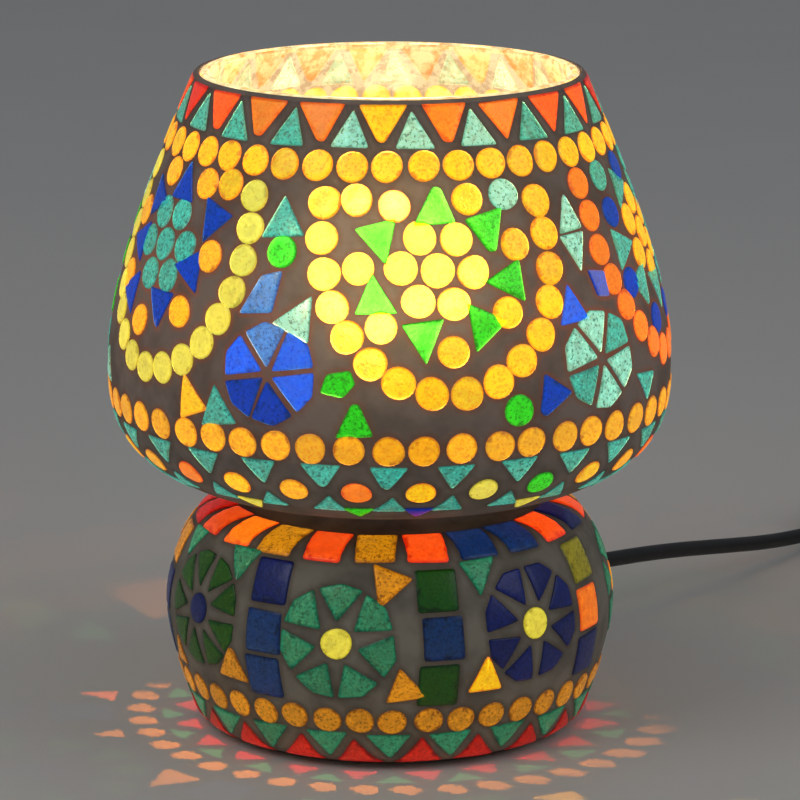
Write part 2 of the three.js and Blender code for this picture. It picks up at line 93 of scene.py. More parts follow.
def turned(name, profile, around=96, closed=False, smooth_below=35):
    """A turned surface about Z through (radius, height) points. A closed profile joins its last point to
    its first."""
    corners = [
        (radius * math.cos(math.tau * k / around), radius * math.sin(math.tau * k / around), height)
        for radius, height in profile
        for k in range(around)
    ]
    rows = len(profile)
    faces = []
    for row in range(rows if closed else rows - 1):
        above = (row + 1) % rows
        for k in range(around):
            beside = (k + 1) % around
            low, high = row * around, above * around
            faces.append((low + k, low + beside, high + beside, high + k))
    mesh = mesh_of(name, corners, faces, smooth_below)
    tidy = bmesh.new()
    tidy.from_mesh(mesh)
    bmesh.ops.remove_doubles(tidy, verts=tidy.verts, dist=1e-6)
    bmesh.ops.recalc_face_normals(tidy, faces=tidy.faces)
    tidy.to_mesh(mesh)
    tidy.free()
    return mesh


def refined(node, material, bevel, segments=2):
    """A copy of a CAD node with its flat parts joined up and its edges rounded."""
    mesh = bpy.data.objects[node].data.copy()
    mesh.materials.clear()
    tidy = bmesh.new()
    tidy.from_mesh(mesh)
    bmesh.ops.remove_doubles(tidy, verts=tidy.verts, dist=1e-6)
    bmesh.ops.dissolve_limit(tidy, angle_limit=math.radians(1), verts=tidy.verts, edges=tidy.edges)
    tidy.to_mesh(mesh)
    tidy.free()
    mesh.shade_smooth()
    mesh.set_sharp_from_angle(angle=math.radians(35))
    piece = add_piece(node + "_finished", mesh, [material], BODY_OF[node], [node])
    rounding = piece.modifiers.new("rounded edges", "BEVEL")
    rounding.width = bevel
    rounding.segments = segments
    rounding.limit_method = "ANGLE"
    rounding.angle_limit = math.radians(35)
    rounding.use_clamp_overlap = True
    return piece


# ---------------------------------------------------------------- the free cord

CORD_DIAMETER = 0.0054
CORD_TURN = math.radians(52)
HEADING = Vector((math.cos(CORD_TURN), math.sin(CORD_TURN), 0))
RIGHT = Vector((HEADING.y, -HEADING.x, 0))

# (distance from the axis along the heading, height)
LAMP_ROUTE = [
    (0.1057, 0.0263), (0.125, 0.0239), (0.145, 0.0214), (0.165, 0.0185), (0.185, 0.0152),
    (0.205, 0.0118), (0.225, 0.0086), (0.245, 0.0062), (0.262, 0.0049), (0.2737, 0.0046),
]
SWITCH_ROUTE = [(0.289, 0.0046), (0.305, 0.0046), (0.321, 0.0046)]
MIDDLE_ROUTE = [(0.3363, 0.0046), (0.340, 0.0045), (0.344, 0.0042), (0.3475, 0.0039)]
COIL_START = 0.368
COIL_MIDDLE = 0.0305
COIL_COLUMNS = (COIL_MIDDLE + CORD_DIAMETER / 2, COIL_MIDDLE - CORD_DIAMETER / 2)
COIL_LOWEST = 0.0039
COIL_TURNS = 7.5
COIL_POINTS = 18  # to a turn
COIL_SHIFT = 80  # degrees that the cord takes to move to its next place
COIL_STEP = 340  # degrees from one shift to the next
PLUG_LEAD = 0.062
# (distance from the plug's back end towards its pins, height)
PLUG_ROUTE = [(-0.042, 0.0186), (-0.033, 0.0158), (-0.024, 0.0122), (-0.015, 0.0092), (-0.007, 0.0074),
              (-0.0003, 0.00685)]


def along_heading(distance, height):
    return HEADING * distance + Vector((0, 0, height))


coil_centre = HEADING * COIL_START + RIGHT * COIL_COLUMNS[0]
plug_start = coil_centre + RIGHT * COIL_COLUMNS[0] - HEADING * PLUG_LEAD


def coil_places():
    """(column, layer) of each turn: out and in, then one layer up and back out."""
    return [(0, 0), (1, 0), (1, 1), (0, 1), (0, 2), (1, 2), (1, 3), (0, 3)]


def eased(share):
    share = min(max(share, 0), 1)
    return share * share * (3 - 2 * share)


def coil_route():
    places = coil_places()
    points = []
    for k in range(round(COIL_TURNS * COIL_POINTS) + 1):
        turn = 360 * k / COIL_POINTS
        column, layer = places[0]
        for n, (before, after) in enumerate(zip(places, places[1:])):
            share = eased((turn - (330 - COIL_SHIFT / 2) - n * COIL_STEP) / COIL_SHIFT)
            column += share * (after[0] - before[0])
            layer += share * (after[1] - before[1])
        radius = COIL_COLUMNS[0] - CORD_DIAMETER * column
        angle = CORD_TURN + math.radians(90 - turn)
        around = Vector((math.cos(angle), math.sin(angle), 0)) * radius
        points.append(coil_centre + around + Vector((0, 0, COIL_LOWEST + CORD_DIAMETER * layer)))
    return points


def smooth_curve(name, points, radius):
    curve = bpy.data.curves.new(name, "CURVE")
    curve.dimensions = "3D"
    curve.bevel_depth = radius
    curve.bevel_resolution = 5
    curve.resolution_u = 6
    curve.use_fill_caps = True
    spline = curve.splines.new("BEZIER")
    spline.bezier_points.add(len(points) - 1)
    for knot, point in zip(spline.bezier_points, points):
        knot.co = point
        knot.handle_left_type = knot.handle_right_type = "AUTO"
    return curve


cord_points = [along_heading(*point) for point in LAMP_ROUTE + SWITCH_ROUTE + MIDDLE_ROUTE]
cord_points += coil_route()
cord_points += [plug_start - HEADING * along + Vector((0, 0, height)) for along, height in PLUG_ROUTE]

# ---------------------------------------------------------------- shader nodes


def linear(red, green, blue):
    """A colour as a maker picks it on a screen, 0 to 255, for a shader socket."""
    def share(value):
        value /= 255
        return value / 12.92 if value <= 0.04045 else ((value + 0.055) / 1.055) ** 2.4
    return (share(red), share(green), share(blue), 1)


class Nodes:
    """Adds nodes to a tree. A value given to a node is a number, a colour or another node's output."""

    def __init__(self, tree):
        self.tree = tree

    def add(self, kind, inputs=(), **settings):
        node = self.tree.nodes.new(kind)
        for key, value in settings.items():
            setattr(node, key, value)
        for socket, value in dict(inputs).items():
            if isinstance(value, bpy.types.NodeSocket):
                self.tree.links.new(value, node.inputs[socket])
            else:
                node.inputs[socket].default_value = value
        return node

    def math(self, operation, *values, clamp=False):
        node = self.add("ShaderNodeMath", dict(enumerate(values)), operation=operation, use_clamp=clamp)
        return node.outputs[0]

    def mix(self, factor, first, second, blend="MIX"):
        inputs = {"Factor": factor, "A": first, "B": second}
        node = self.tree.nodes.new("ShaderNodeMix")
        node.data_type = "RGBA"
        node.blend_type = blend
        slots = {"Factor": node.inputs[0], "A": node.inputs[6], "B": node.inputs[7]}
        for name, value in inputs.items():
            if isinstance(value, bpy.types.NodeSocket):
                self.tree.links.new(value, slots[name])
            else:
                slots[name].default_value = value
        return node.outputs[2]

    def ramp(self, value, *stops, smooth=True):
        node = self.add("ShaderNodeValToRGB", {0: value})
        node.color_ramp.interpolation = "EASE" if smooth else "LINEAR"
        elements = node.color_ramp.elements
        while len(elements) < len(stops):
            elements.new(0.5)
        for element, (place, shade) in zip(elements, stops):
            element.position = place
            element.color = shade if isinstance(shade, tuple) else (shade, shade, shade, 1)
        return node.outputs[0]

    def place(self):
        """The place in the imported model's frame."""
        return self.add("ShaderNodeTexCoord").outputs["Object"]

    def noise(self, place, scale, detail=2.0, roughness=0.5):
        inputs = {"Vector": place, "Scale": scale, "Detail": detail, "Roughness": roughness}
        return self.add("ShaderNodeTexNoise", inputs).outputs["Fac"]

    def bump(self, height, strength, distance):
        inputs = {"Height": height, "Strength": strength, "Distance": distance}
        return self.add("ShaderNodeBump", inputs).outputs[0]


def node_group(name, takes, gives):
    """An empty node group with the sockets named, and what adds nodes to it."""
    tree = bpy.data.node_groups.new(name, "ShaderNodeTree")
    kinds = {"colour": "NodeSocketColor", "value": "NodeSocketFloat"}
    for socket, kind in takes.items():
        tree.interface.new_socket(socket, in_out="INPUT", socket_type=kinds[kind])
    for socket, kind in gives.items():
        tree.interface.new_socket(socket, in_out="OUTPUT", socket_type=kinds[kind])
    taken = tree.nodes.new("NodeGroupInput").outputs
    given = tree.nodes.new("NodeGroupOutput").inputs
    return tree, Nodes(tree), taken, given


LIT_HEIGHT = 0.212
BRIGHTEST = 0.15  # height of the skin that the bulb lights most
BRIGHT_REACH = 0.05


def make_lamplight():
    """How bright the bulb makes the skin at each height, and how near the bulb's own height a place is."""
    tree, nodes, taken, given = node_group("lamplight", {}, {"Level": "value", "Near": "value"})
    height = nodes.add("ShaderNodeSeparateXYZ", {0: nodes.place()}).outputs["Z"]
    level = nodes.ramp(
        nodes.math("DIVIDE", height, LIT_HEIGHT),
        (0.0, 0.7), (0.2, 0.8), (0.345, 0.95), (0.38, 0.75),
        (0.48, 0.85), (0.7, 1.0), (0.86, 0.95), (1.0, 0.85),
    )
    away = nodes.math("DIVIDE", nodes.math("SUBTRACT", height, BRIGHTEST), BRIGHT_REACH)
    near = nodes.math("SUBTRACT", 1.0, nodes.math("ABSOLUTE", away), clamp=True)
    tree.links.new(level, given["Level"])
    tree.links.new(nodes.math("SMOOTH_MIN", near, 1.0, 0.1), given["Near"])
    return tree


def make_cut_glass():
    """Cut sheet glass: a clear middle, darker ground edges, streaks and seeds in it, and a rippled face."""
    takes = {"Lit": "colour", "Edge Colour": "colour", "Speckle": "value", "Edge": "value", "Tone": "value"}
    gives = {"Colour": "colour", "Pattern": "colour", "Height": "value", "Roughness": "value"}
    tree, nodes, taken, given = node_group("cut glass", takes, gives)
    place = nodes.place()
    streaks = nodes.noise(place, 420, 3, 0.6)
    flecks = nodes.noise(place, 1100, 3, 0.65)
    seeds = nodes.add("ShaderNodeTexVoronoi", {"Vector": place, "Scale": 900}).outputs["Distance"]
    rim = nodes.ramp(taken["Edge"], (0.62, 0.0), (0.84, 0.5), (1.0, 1.0))
    worn = nodes.math("MULTIPLY", rim, nodes.ramp(streaks, (0.35, 0.55), (0.6, 1.0)), clamp=True)
    colour = nodes.mix(worn, taken["Lit"], taken["Edge Colour"])
    mottle = nodes.ramp(streaks, (0.3, 0.6), (0.5, 1.0), (0.7, 1.3))
    colour = nodes.mix(nodes.math("MULTIPLY_ADD", taken["Speckle"], 0.6, 0.35), colour,
                       nodes.mix(1.0, colour, mottle, "MULTIPLY"))
    fleck_mask = nodes.math("MULTIPLY", nodes.ramp(flecks, (0.55, 0.0), (0.61, 1.0)), taken["Speckle"])
    colour = nodes.mix(fleck_mask, colour, taken["Edge Colour"])
    bright_mask = nodes.math("MULTIPLY", nodes.ramp(flecks, (0.36, 1.0), (0.42, 0.0)), taken["Speckle"])
    colour = nodes.mix(nodes.math("MULTIPLY", bright_mask, 0.5), colour,
                       nodes.mix(1.0, colour, (1.9, 1.9, 1.9, 1), "MULTIPLY"))
    chipped = nodes.math("MULTIPLY", nodes.ramp(nodes.noise(place, 300, 2, 0.5), (0.58, 0.0), (0.64, 0.8)),
                         nodes.ramp(taken["Edge"], (0.3, 0.0), (0.7, 1.0)))
    colour = nodes.mix(chipped, colour, taken["Edge Colour"])
    tree.links.new(nodes.ramp(nodes.math("MULTIPLY_ADD", flecks, 0.6, nodes.math("MULTIPLY", streaks, 0.4)),
                              (0.4, 1.15), (0.5, 0.85), (0.6, 0.4)), given["Pattern"])
    tone = nodes.math("MULTIPLY_ADD", taken["Tone"], 0.34, 0.83)
    shade = nodes.add("ShaderNodeCombineColor", {0: tone, 1: tone, 2: tone}).outputs[0]
    tree.links.new(nodes.mix(1.0, colour, shade, "MULTIPLY"), given["Colour"])
    height = nodes.math("MULTIPLY_ADD", nodes.ramp(seeds, (0.0, 0.0), (0.3, 1.0)), 0.35, streaks)
    tree.links.new(height, given["Height"])
    tree.links.new(nodes.math("MULTIPLY_ADD", flecks, 0.3, 0.22), given["Roughness"])
    return tree


def make_wear():
    """Handling marks on metal and moulded plastic: rubbed places, a fine grain and dull to shiny patches."""
    takes = {"Colour": "colour", "Rubbed Colour": "colour", "Grain": "value", "Shine": "value"}
    gives = {"Colour": "colour", "Height": "value", "Roughness": "value"}
    tree, nodes, taken, given = node_group("handling wear", takes, gives)
    place = nodes.place()
    broad = nodes.noise(place, 90, 4, 0.6)
    fine = nodes.noise(place, taken["Grain"], 2, 0.5)
    rubbed = nodes.math("MULTIPLY", nodes.ramp(broad, (0.5, 0.0), (0.72, 1.0)), 0.55)
    tree.links.new(nodes.mix(rubbed, taken["Colour"], taken["Rubbed Colour"]), given["Colour"])
    tree.links.new(fine, given["Height"])
    spread = nodes.math("MULTIPLY_ADD", nodes.math("SUBTRACT", broad, 0.5), 0.3, taken["Shine"])
    tree.links.new(nodes.math("MULTIPLY_ADD", fine, 0.08, spread), given["Roughness"])
    return tree


LAMPLIGHT = make_lamplight()
CUT_GLASS = make_cut_glass()
WEAR = make_wear()


def new_material(name):
    material = bpy.data.materials.new(name)
    material.use_nodes = True
    material.node_tree.nodes.clear()
    nodes = Nodes(material.node_tree)
    return material, nodes, nodes.add("ShaderNodeOutputMaterial").inputs["Surface"]


def use_group(nodes, tree, **inputs):
    node = nodes.tree.nodes.new("ShaderNodeGroup")
    node.node_tree = tree
    for key, value in inputs.items():
        socket = node.inputs[key.replace("_", " ")]
        if isinstance(value, bpy.types.NodeSocket):
            nodes.tree.links.new(value, socket)
        else:
            socket.default_value = value
    return node.outputs


def scaled(nodes, colour, level):
    shade = nodes.add("ShaderNodeCombineColor", {0: level, 1: level, 2: level}).outputs[0]
    return nodes.mix(1.0, colour, shade, "MULTIPLY")


CLEARNESS = 0.2  # how much of a bright light the coloured glass lets through
EDGE_FILM = 0.55  # how much a piece's edge keeps its own colour in front of a bright light


def tile_glass(name, lit, edge, clear, speckle=0.3, glow=1.0, through=0.92):
    """Coloured sheet glass lit from behind. lit is its colour away from the bulb, edge that of its ground
    edges and clear what it lets through of a bright light just behind it."""
    material, nodes, surface = new_material(name)
    edge_mark = nodes.add("ShaderNodeAttribute", attribute_name="edge").outputs["Fac"]
    tone_mark = nodes.add("ShaderNodeAttribute", attribute_name="tone").outputs["Fac"]
    cut = use_group(nodes, CUT_GLASS, Lit=linear(*lit), Edge_Colour=linear(*edge), Speckle=speckle,
                    Edge=edge_mark, Tone=tone_mark)
    light = use_group(nodes, LAMPLIGHT)
    dimmed = tuple(CLEARNESS * part for part in linear(*clear)[:3]) + (1,)
    bright = nodes.mix(1.0, dimmed, cut["Pattern"], "MULTIPLY")
    seen_through = nodes.mix(nodes.math("MULTIPLY", edge_mark, EDGE_FILM), bright, cut["Colour"])
    shader = nodes.add("ShaderNodeBsdfPrincipled", {
        "Base Color": seen_through,
        "Roughness": cut["Roughness"],
        "IOR": 1.45,
        "Transmission Weight": through,
        "Specular IOR Level": 0.2,
        "Coat Weight": 0.2,
        "Coat Roughness": 0.12,
        "Emission Color": scaled(nodes, cut["Colour"], light["Level"]),
        "Emission Strength": glow,
        "Normal": nodes.bump(cut["Height"], 0.5, 0.0004),
    }).outputs[0]
    coloured_light = nodes.add("ShaderNodeBsdfTransparent", {"Color": linear(*lit)}).outputs[0]
    is_shadow = nodes.add("ShaderNodeLightPath").outputs["Is Shadow Ray"]
    mixed = nodes.add("ShaderNodeMixShader", {0: is_shadow, 1: shader, 2: coloured_light})
    nodes.tree.links.new(mixed.outputs[0], surface)
    return material


def worn_material(name, colour, rubbed, grain, shine, bump=0.15, metallic=0.0, sheen=0.0):
    material, nodes, surface = new_material(name)
    wear = use_group(nodes, WEAR, Colour=linear(*colour), Rubbed_Colour=linear(*rubbed),
                     Grain=grain, Shine=shine)
    shader = nodes.add("ShaderNodeBsdfPrincipled", {
        "Base Color": wear["Colour"],
        "Roughness": wear["Roughness"],
        "Metallic": metallic,
        "Sheen Weight": sheen,
        "Normal": nodes.bump(wear["Height"], bump, 0.0002),
    })
    nodes.tree.links.new(shader.outputs[0], surface)
    return material


def grout_material(name, tint, painted_glow_colour, through):
    """Sanded cement grout, with a painted glow from the bulb behind it near the bulb's own height, and
    painted shade and glow just beside the pieces.
    """
    material, nodes, surface = new_material(name)
    place = nodes.place()
    sand = nodes.noise(place, 2600, 3, 0.6)
    clouds = nodes.noise(place, 60, 3, 0.6)
    light = use_group(nodes, LAMPLIGHT)
    beside = nodes.add("ShaderNodeAttribute", attribute_name="beside").outputs["Fac"]
    damp = linear(*[part * 0.78 for part in tint])
    worn = nodes.mix(nodes.ramp(clouds, (0.35, 0.0), (0.7, 1.0)), linear(*tint), damp)
    # painted shade: the grout turns darker brown just beside each piece, standing in for the shade along the
    # pieces' edges
    worn = nodes.mix(nodes.math("MULTIPLY", beside, 0.6), worn, linear(84, 60, 40))
    shader = nodes.add("ShaderNodeBsdfPrincipled", {
        "Base Color": worn,
        "Roughness": nodes.math("MULTIPLY_ADD", sand, 0.25, 0.6),
        "Transmission Weight": through,
        # painted glow: orange just beside the pieces and warm elsewhere, strongest near the bulb's height,
        # standing in for lamplight through and past the pieces
        "Emission Color": scaled(nodes, nodes.mix(beside, linear(*painted_glow_colour), linear(116, 44, 5)),
                                 nodes.math("MULTIPLY", light["Near"], light["Level"])),
        "Emission Strength": 1.0,
        "Normal": nodes.bump(sand, 0.35, 0.0003),
    })
    nodes.tree.links.new(shader.outputs[0], surface)
    return material


GLASS_TOP = 0.2124


def body_glass_material():
    """Clear blown glass with a painted golden glow where the lamplight gathers near its top, broken up by
    darker painted patches.
    """
    material, nodes, surface = new_material("clear blown glass")
    place = nodes.place()
    height = nodes.add("ShaderNodeSeparateXYZ", {0: place}).outputs["Z"]
    waves = nodes.noise(place, 38, 2, 0.5)
    glow = nodes.ramp(nodes.math("DIVIDE", height, GLASS_TOP),
                      (0.0, linear(16, 9, 3)), (0.34, linear(60, 35, 12)), (0.8, linear(225, 172, 88)),
                      (0.96, linear(248, 212, 136)), (1.0, linear(255, 226, 156)))
    blotches = nodes.noise(place, 240, 4, 0.65)
    # painted shade: darker blotches in the glass's painted glow
    painted_glow_patches = nodes.ramp(blotches, (0.44, 0.0), (0.6, 0.75))
    patchy_painted_glow = nodes.mix(painted_glow_patches, glow, linear(206, 166, 104), "MULTIPLY")
    shader = nodes.add("ShaderNodeBsdfPrincipled", {
        "Base Color": nodes.mix(waves, linear(255, 250, 235), linear(250, 240, 215)),
        "Roughness": nodes.math("MULTIPLY_ADD", waves, 0.08, 0.02),
        "IOR": 1.47,
        "Transmission Weight": 1.0,
        "Emission Color": patchy_painted_glow,
        "Emission Strength": 0.95,
        "Normal": nodes.bump(waves, 0.25, 0.002),
    })
    nodes.tree.links.new(shader.outputs[0], surface)
    return material


GLOW_LOWEST = 0.11  # on the bulb
GLOW_HEIGHT = 0.06


def bulb_glass_material():
    """Satin glass with the filament's glow spread over it, brightest at the filament's height."""
    material, nodes, surface = new_material("satin bulb glass")
    place = nodes.place()
    height = nodes.add("ShaderNodeSeparateXYZ", {0: place}).outputs["Z"]
    satin = nodes.noise(place, 1800, 2, 0.5)
    level = nodes.ramp(nodes.math("DIVIDE", nodes.math("SUBTRACT", height, GLOW_LOWEST), GLOW_HEIGHT),
                       (0.0, 0.25), (0.3, 0.9), (0.45, 1.0), (0.7, 0.6), (1.0, 0.22))
    shader = nodes.add("ShaderNodeBsdfPrincipled", {
        "Base Color": nodes.mix(satin, linear(250, 240, 220), linear(240, 228, 205)),
        "Roughness": nodes.math("MULTIPLY_ADD", satin, 0.2, 0.35),
        "Emission Color": nodes.mix(1.0, linear(255, 226, 170), level, "MULTIPLY"),
        "Emission Strength": 6.5,
        "Normal": nodes.bump(satin, 0.2, 0.0002),
    })
    nodes.tree.links.new(shader.outputs[0], surface)
    material.cycles.emission_sampling = "NONE"  # the lights inside it do its lighting
    return material


BLACK_RUBBER = worn_material("black cord sheath", (20, 19, 19), (40, 38, 36), 1400, 0.42, 0.25)
BLACK_PLASTIC = worn_material("black moulded plastic", (17, 17, 18), (38, 37, 36), 2200, 0.38, 0.2)
PALE_PLASTIC = worn_material("pale moulded plastic", (214, 206, 186), (190, 180, 158), 1800, 0.45, 0.15)
BRASS = worn_material("plain brass", (201, 162, 88), (150, 112, 52), 700, 0.3, 0.12, metallic=1.0)
STEEL = worn_material("zinc plated steel", (168, 170, 174), (120, 122, 126), 900, 0.34, 0.12, metallic=1.0)
FELT = worn_material("green black felt", (28, 38, 32), (46, 56, 48), 3200, 0.95, 0.9, sheen=0.6)
SEALANT = worn_material("cured sealant", (196, 190, 176), (172, 164, 148), 500, 0.5, 0.3)
SHADE_GROUT = grout_material("grey grout on the shade", (146, 134, 126), (44, 26, 12), 0.1)
BASE_GROUT = grout_material("grey grout on the base", (150, 144, 130), (20, 14, 6), 0.05)
BODY_GLASS = body_glass_material()
BULB_GLASS = bulb_glass_material()

GLASS = {
    "yellow": tile_glass("yellow glass", (255, 196, 2), (206, 92, 0), (255, 214, 84), 0.4),
    "gold": tile_glass("golden amber glass", (255, 172, 4), (160, 74, 0), (255, 208, 90), 0.4),
    "lime": tile_glass("lime yellow glass", (226, 212, 66), (150, 140, 16), (245, 240, 150), 0.35),
    "orange": tile_glass("orange glass", (248, 118, 10), (200, 50, 2), (255, 180, 80), 0.35),
    "red orange": tile_glass("red orange glass", (240, 74, 12), (180, 18, 2), (255, 130, 60), 0.3),
    "red": tile_glass("red glass", (214, 22, 10), (130, 4, 2), (255, 70, 40), 0.3),
    "pale teal": tile_glass("pale teal glass", (126, 208, 182), (30, 110, 96), (200, 245, 225), 1.0),
    "teal": tile_glass("teal glass", (42, 160, 142), (6, 78, 74), (120, 225, 200), 1.0),
    "green": tile_glass("leaf green glass", (30, 190, 18), (6, 84, 4), (36, 228, 22), 0.7),
    "blue": tile_glass("deep blue glass", (0, 36, 160), (0, 10, 70), (10, 80, 230), 0.5),
    "bright blue": tile_glass("bright blue glass", (0, 78, 226), (0, 24, 128), (70, 150, 255), 0.6),
    "sky": tile_glass("sky blue glass", (50, 122, 204), (8, 54, 130), (130, 190, 255), 0.9),
    "emerald": tile_glass("emerald glass", (34, 128, 90), (6, 60, 42), (90, 205, 150), 0.8, 0.85),
    "dark green": tile_glass("bottle green glass", (10, 62, 6), (1, 22, 2), (30, 110, 20), 0.4, 0.85),
    "navy": tile_glass("navy glass", (0, 12, 74), (0, 3, 30), (12, 40, 140), 0.5, 0.85),
    "slate": tile_glass("slate blue glass", (6, 40, 90), (0, 12, 34), (20, 66, 130), 0.6, 0.85),
    "amber": tile_glass("brown amber glass", (212, 136, 10), (110, 54, 0), (255, 195, 80), 0.8, 0.85),
    "olive": tile_glass("olive glass", (132, 128, 18), (60, 60, 4), (210, 205, 90), 0.5, 0.85),
    "dark red": tile_glass("ruby glass", (180, 8, 2), (90, 2, 0), (255, 50, 30), 0.4, 0.85),
}

# ---------------------------------------------------------------- the outline that the mosaic lies on

# (radius, height) where each stretch starts, then the two handles and the end of each curve
RIM = (0.0626, 0.2112)
SHADE_CURVES = [
    ((0.0753, 0.1821), (0.0908, 0.1443), (0.0908, 0.1190)),
    ((0.0908, 0.1015), (0.0872, 0.0923), (0.0700, 0.0834)),
    ((0.0620, 0.0793), (0.0430, 0.0805), (0.0430, 0.0760)),
]
WAIST = (0.0430, 0.0764)
BASE_CURVES = [
    ((0.0430, 0.0725), (0.0555, 0.0750), (0.0617, 0.0693)),
    ((0.0677, 0.0637), (0.0729, 0.0502), (0.0729, 0.0400)),
    ((0.0729, 0.0298), (0.0674, 0.0138), (0.0646, 0.0060)),
    ((0.0632, 0.0022), (0.0590, 0.0007), (0.0555, 0.0005)),
]
GLASS_DEPTH = 0.0027
GLASS_WALL = 0.0028
GROUT_DEPTH = 0.0005


class Outline:
    """The turned outline of one part of the body, from its top edge down."""

    STEPS = 24  # to a curve

    def __init__(self, start, curves):
        self.points = []
        for first, second, end in curves:
            for k in range(self.STEPS):
                self.points.append(self.on_curve((start, first, second, end), k / self.STEPS))
            start = end
        self.points.append(start)
        self.lengths = [0.0]
        for before, after in zip(self.points, self.points[1:]):
            self.lengths.append(self.lengths[-1] + math.dist(before, after))
        self.outward = []
        last = len(self.points) - 1
        for k in range(last + 1):
            before, after = self.points[max(k - 1, 0)], self.points[min(k + 1, last)]
            length = math.dist(before, after)
            self.outward.append(((before[1] - after[1]) / length, (after[0] - before[0]) / length))

    @staticmethod
    def on_curve(knots, t):
        weights = ((1 - t) ** 3, 3 * t * (1 - t) ** 2, 3 * t * t * (1 - t), t ** 3)
        return tuple(sum(w * knot[axis] for w, knot in zip(weights, knots)) for axis in (0, 1))

    def sunk(self, depth):
        """The outline moved inwards by a depth."""
        return [(r - depth * out_r, z - depth * out_z)
                for (r, z), (out_r, out_z) in zip(self.points, self.outward)]

    def length_at(self, height):
        """The length along the outline, from its top edge, at which it reaches a height."""
        for k, (before, after) in enumerate(zip(self.points, self.points[1:])):
            if after[1] <= height:
                share = (before[1] - height) / max(before[1] - after[1], 1e-9)
                return self.lengths[k] + min(max(share, 0), 1) * (self.lengths[k + 1] - self.lengths[k])
        return self.lengths[-1]

    def at(self, length):
        """The point and the outward direction at a length along the outline."""
        length = min(max(length, 0), self.lengths[-1] - 1e-9)
        k = next(k for k in range(len(self.lengths) - 1) if self.lengths[k + 1] > length)
        share = (length - self.lengths[k]) / (self.lengths[k + 1] - self.lengths[k])

        def between(values):
            return [values[k][axis] + share * (values[k + 1][axis] - values[k][axis]) for axis in (0, 1)]
        return between(self.points), between(self.outward)


SHADE = Outline(RIM, SHADE_CURVES)
BASE = Outline(WAIST, BASE_CURVES)

# ---------------------------------------------------------------- cut pieces of glass

BED_SHARE = 0.96  # of a piece's own width
PAINTED_SHADE_AND_GLOW_REACH = 0.0017  # how far the painted shade and glow beside a piece reach into the grout
TILE_FACE = 0.00005  # how far a piece's face lies under the outline
TILE_BEVEL = 0.00035
TILE_SUNK = 0.0013
LEAN_SLIP = 1.5  # degrees that a piece may be turned out of true
TILT_SLIP = 0.018  # slope that a piece may have to the outline
# (share of the piece's outline, depth, how near its edge)
TILE_RINGS = [(0.5, 0.0, 0.2), (0.84, 0.00003, 0.62), (0.93, 0.00012, 0.84), (1.0, TILE_BEVEL, 1.0),
              (1.0, TILE_SUNK, 1.0)]


def wavy(amount):
    return chance.uniform(-amount, amount)


def disc(radius=0.005):
    """A nipped disc, never quite round."""
    oval, lobe = chance.uniform(0, 0.035), chance.uniform(0, 0.025)
    turn, other = chance.uniform(0, math.tau), chance.uniform(0, math.tau)
    outline = []
    for k in range(20):
        angle = math.tau * k / 20
        reach = radius * (1 + oval * math.cos(2 * angle + turn) + lobe * math.cos(3 * angle + other))
        outline.append((reach * math.cos(angle), reach * math.sin(angle)))
    return outline


def softened(corners, radius=0.0007):
    """An outline with rounded corners."""
    outline = []
    for k, corner in enumerate(corners):
        before, after = Vector(corners[k - 1]), Vector(corners[(k + 1) % len(corners)])
        corner = Vector(corner)
        start = corner + (before - corner).normalized() * radius * 1.5
        end = corner + (after - corner).normalized() * radius * 1.5
        for t in (0, 0.5, 1):
            outline.append(tuple(start * (1 - t) ** 2 + corner * 2 * t * (1 - t) + end * t * t))
        for t in (0.33, 0.67):
            far = after + (corner - after).normalized() * radius * 1.5
            outline.append(tuple(end.lerp(far, t)))
    return outline


def hand_cut(corners, slip=0.0004):
    return softened([(x + wavy(slip), y + wavy(slip)) for x, y in corners])


NIPPED_SHARE = 0.3  # of the triangles have their tip nipped off


def triangle(width, tall, pointing=1):
    half = tall / 2 * pointing
    tip = wavy(width * 0.1)
    corners = [(-width / 2 * pointing, -half), (width / 2 * pointing, -half), (tip, half)]
    if chance.random() < NIPPED_SHARE:
        nip = chance.uniform(0.12, 0.24)
        corners[2:] = [(width / 2 * pointing * nip + tip, half * 0.8),
                       (tip - width * 0.06 * pointing, half * 0.88)]
    return hand_cut(corners)


def square(width, tall):
    x, y = width / 2, tall / 2
    return hand_cut([(-x, -y), (x, -y), (x, y), (-x, y)])


def petal(inner, outer, start, end):
    """One wedge of a wheel or flower, between two angles in degrees."""
    low, middle, high = (math.radians(a) for a in (start, (start + end) / 2, end))
    rim = outer * (1 - 0.06 * abs(end - start) / 60)
    corners = [(reach * math.cos(turn), reach * math.sin(turn))
               for reach, turn in [(inner, middle), (rim, low), (outer, middle), (rim, high)]]
    return hand_cut(corners, 0.0003)


def turned_by(outline, degrees):
    cosine, sine = math.cos(math.radians(degrees)), math.sin(math.radians(degrees))
    return [(x * cosine - y * sine, x * sine + y * cosine) for x, y in outline]


def shifted(outline, across, up):
    return [(x + across, y + up) for x, y in outline]


def inside_outline(across, up, outline):
    inside = False
    for (x0, y0), (x1, y1) in zip(outline, outline[1:] + outline[:1]):
        if (y0 > up) != (y1 > up) and across < x0 + (x1 - x0) * (up - y0) / (y1 - y0):
            inside = not inside
    return inside


def gap_to(point, start, span):
    """How far a point is from a straight edge."""
    share = (point - start).dot(span) / span.length_squared
    return (point - start - min(max(share, 0), 1) * span).length


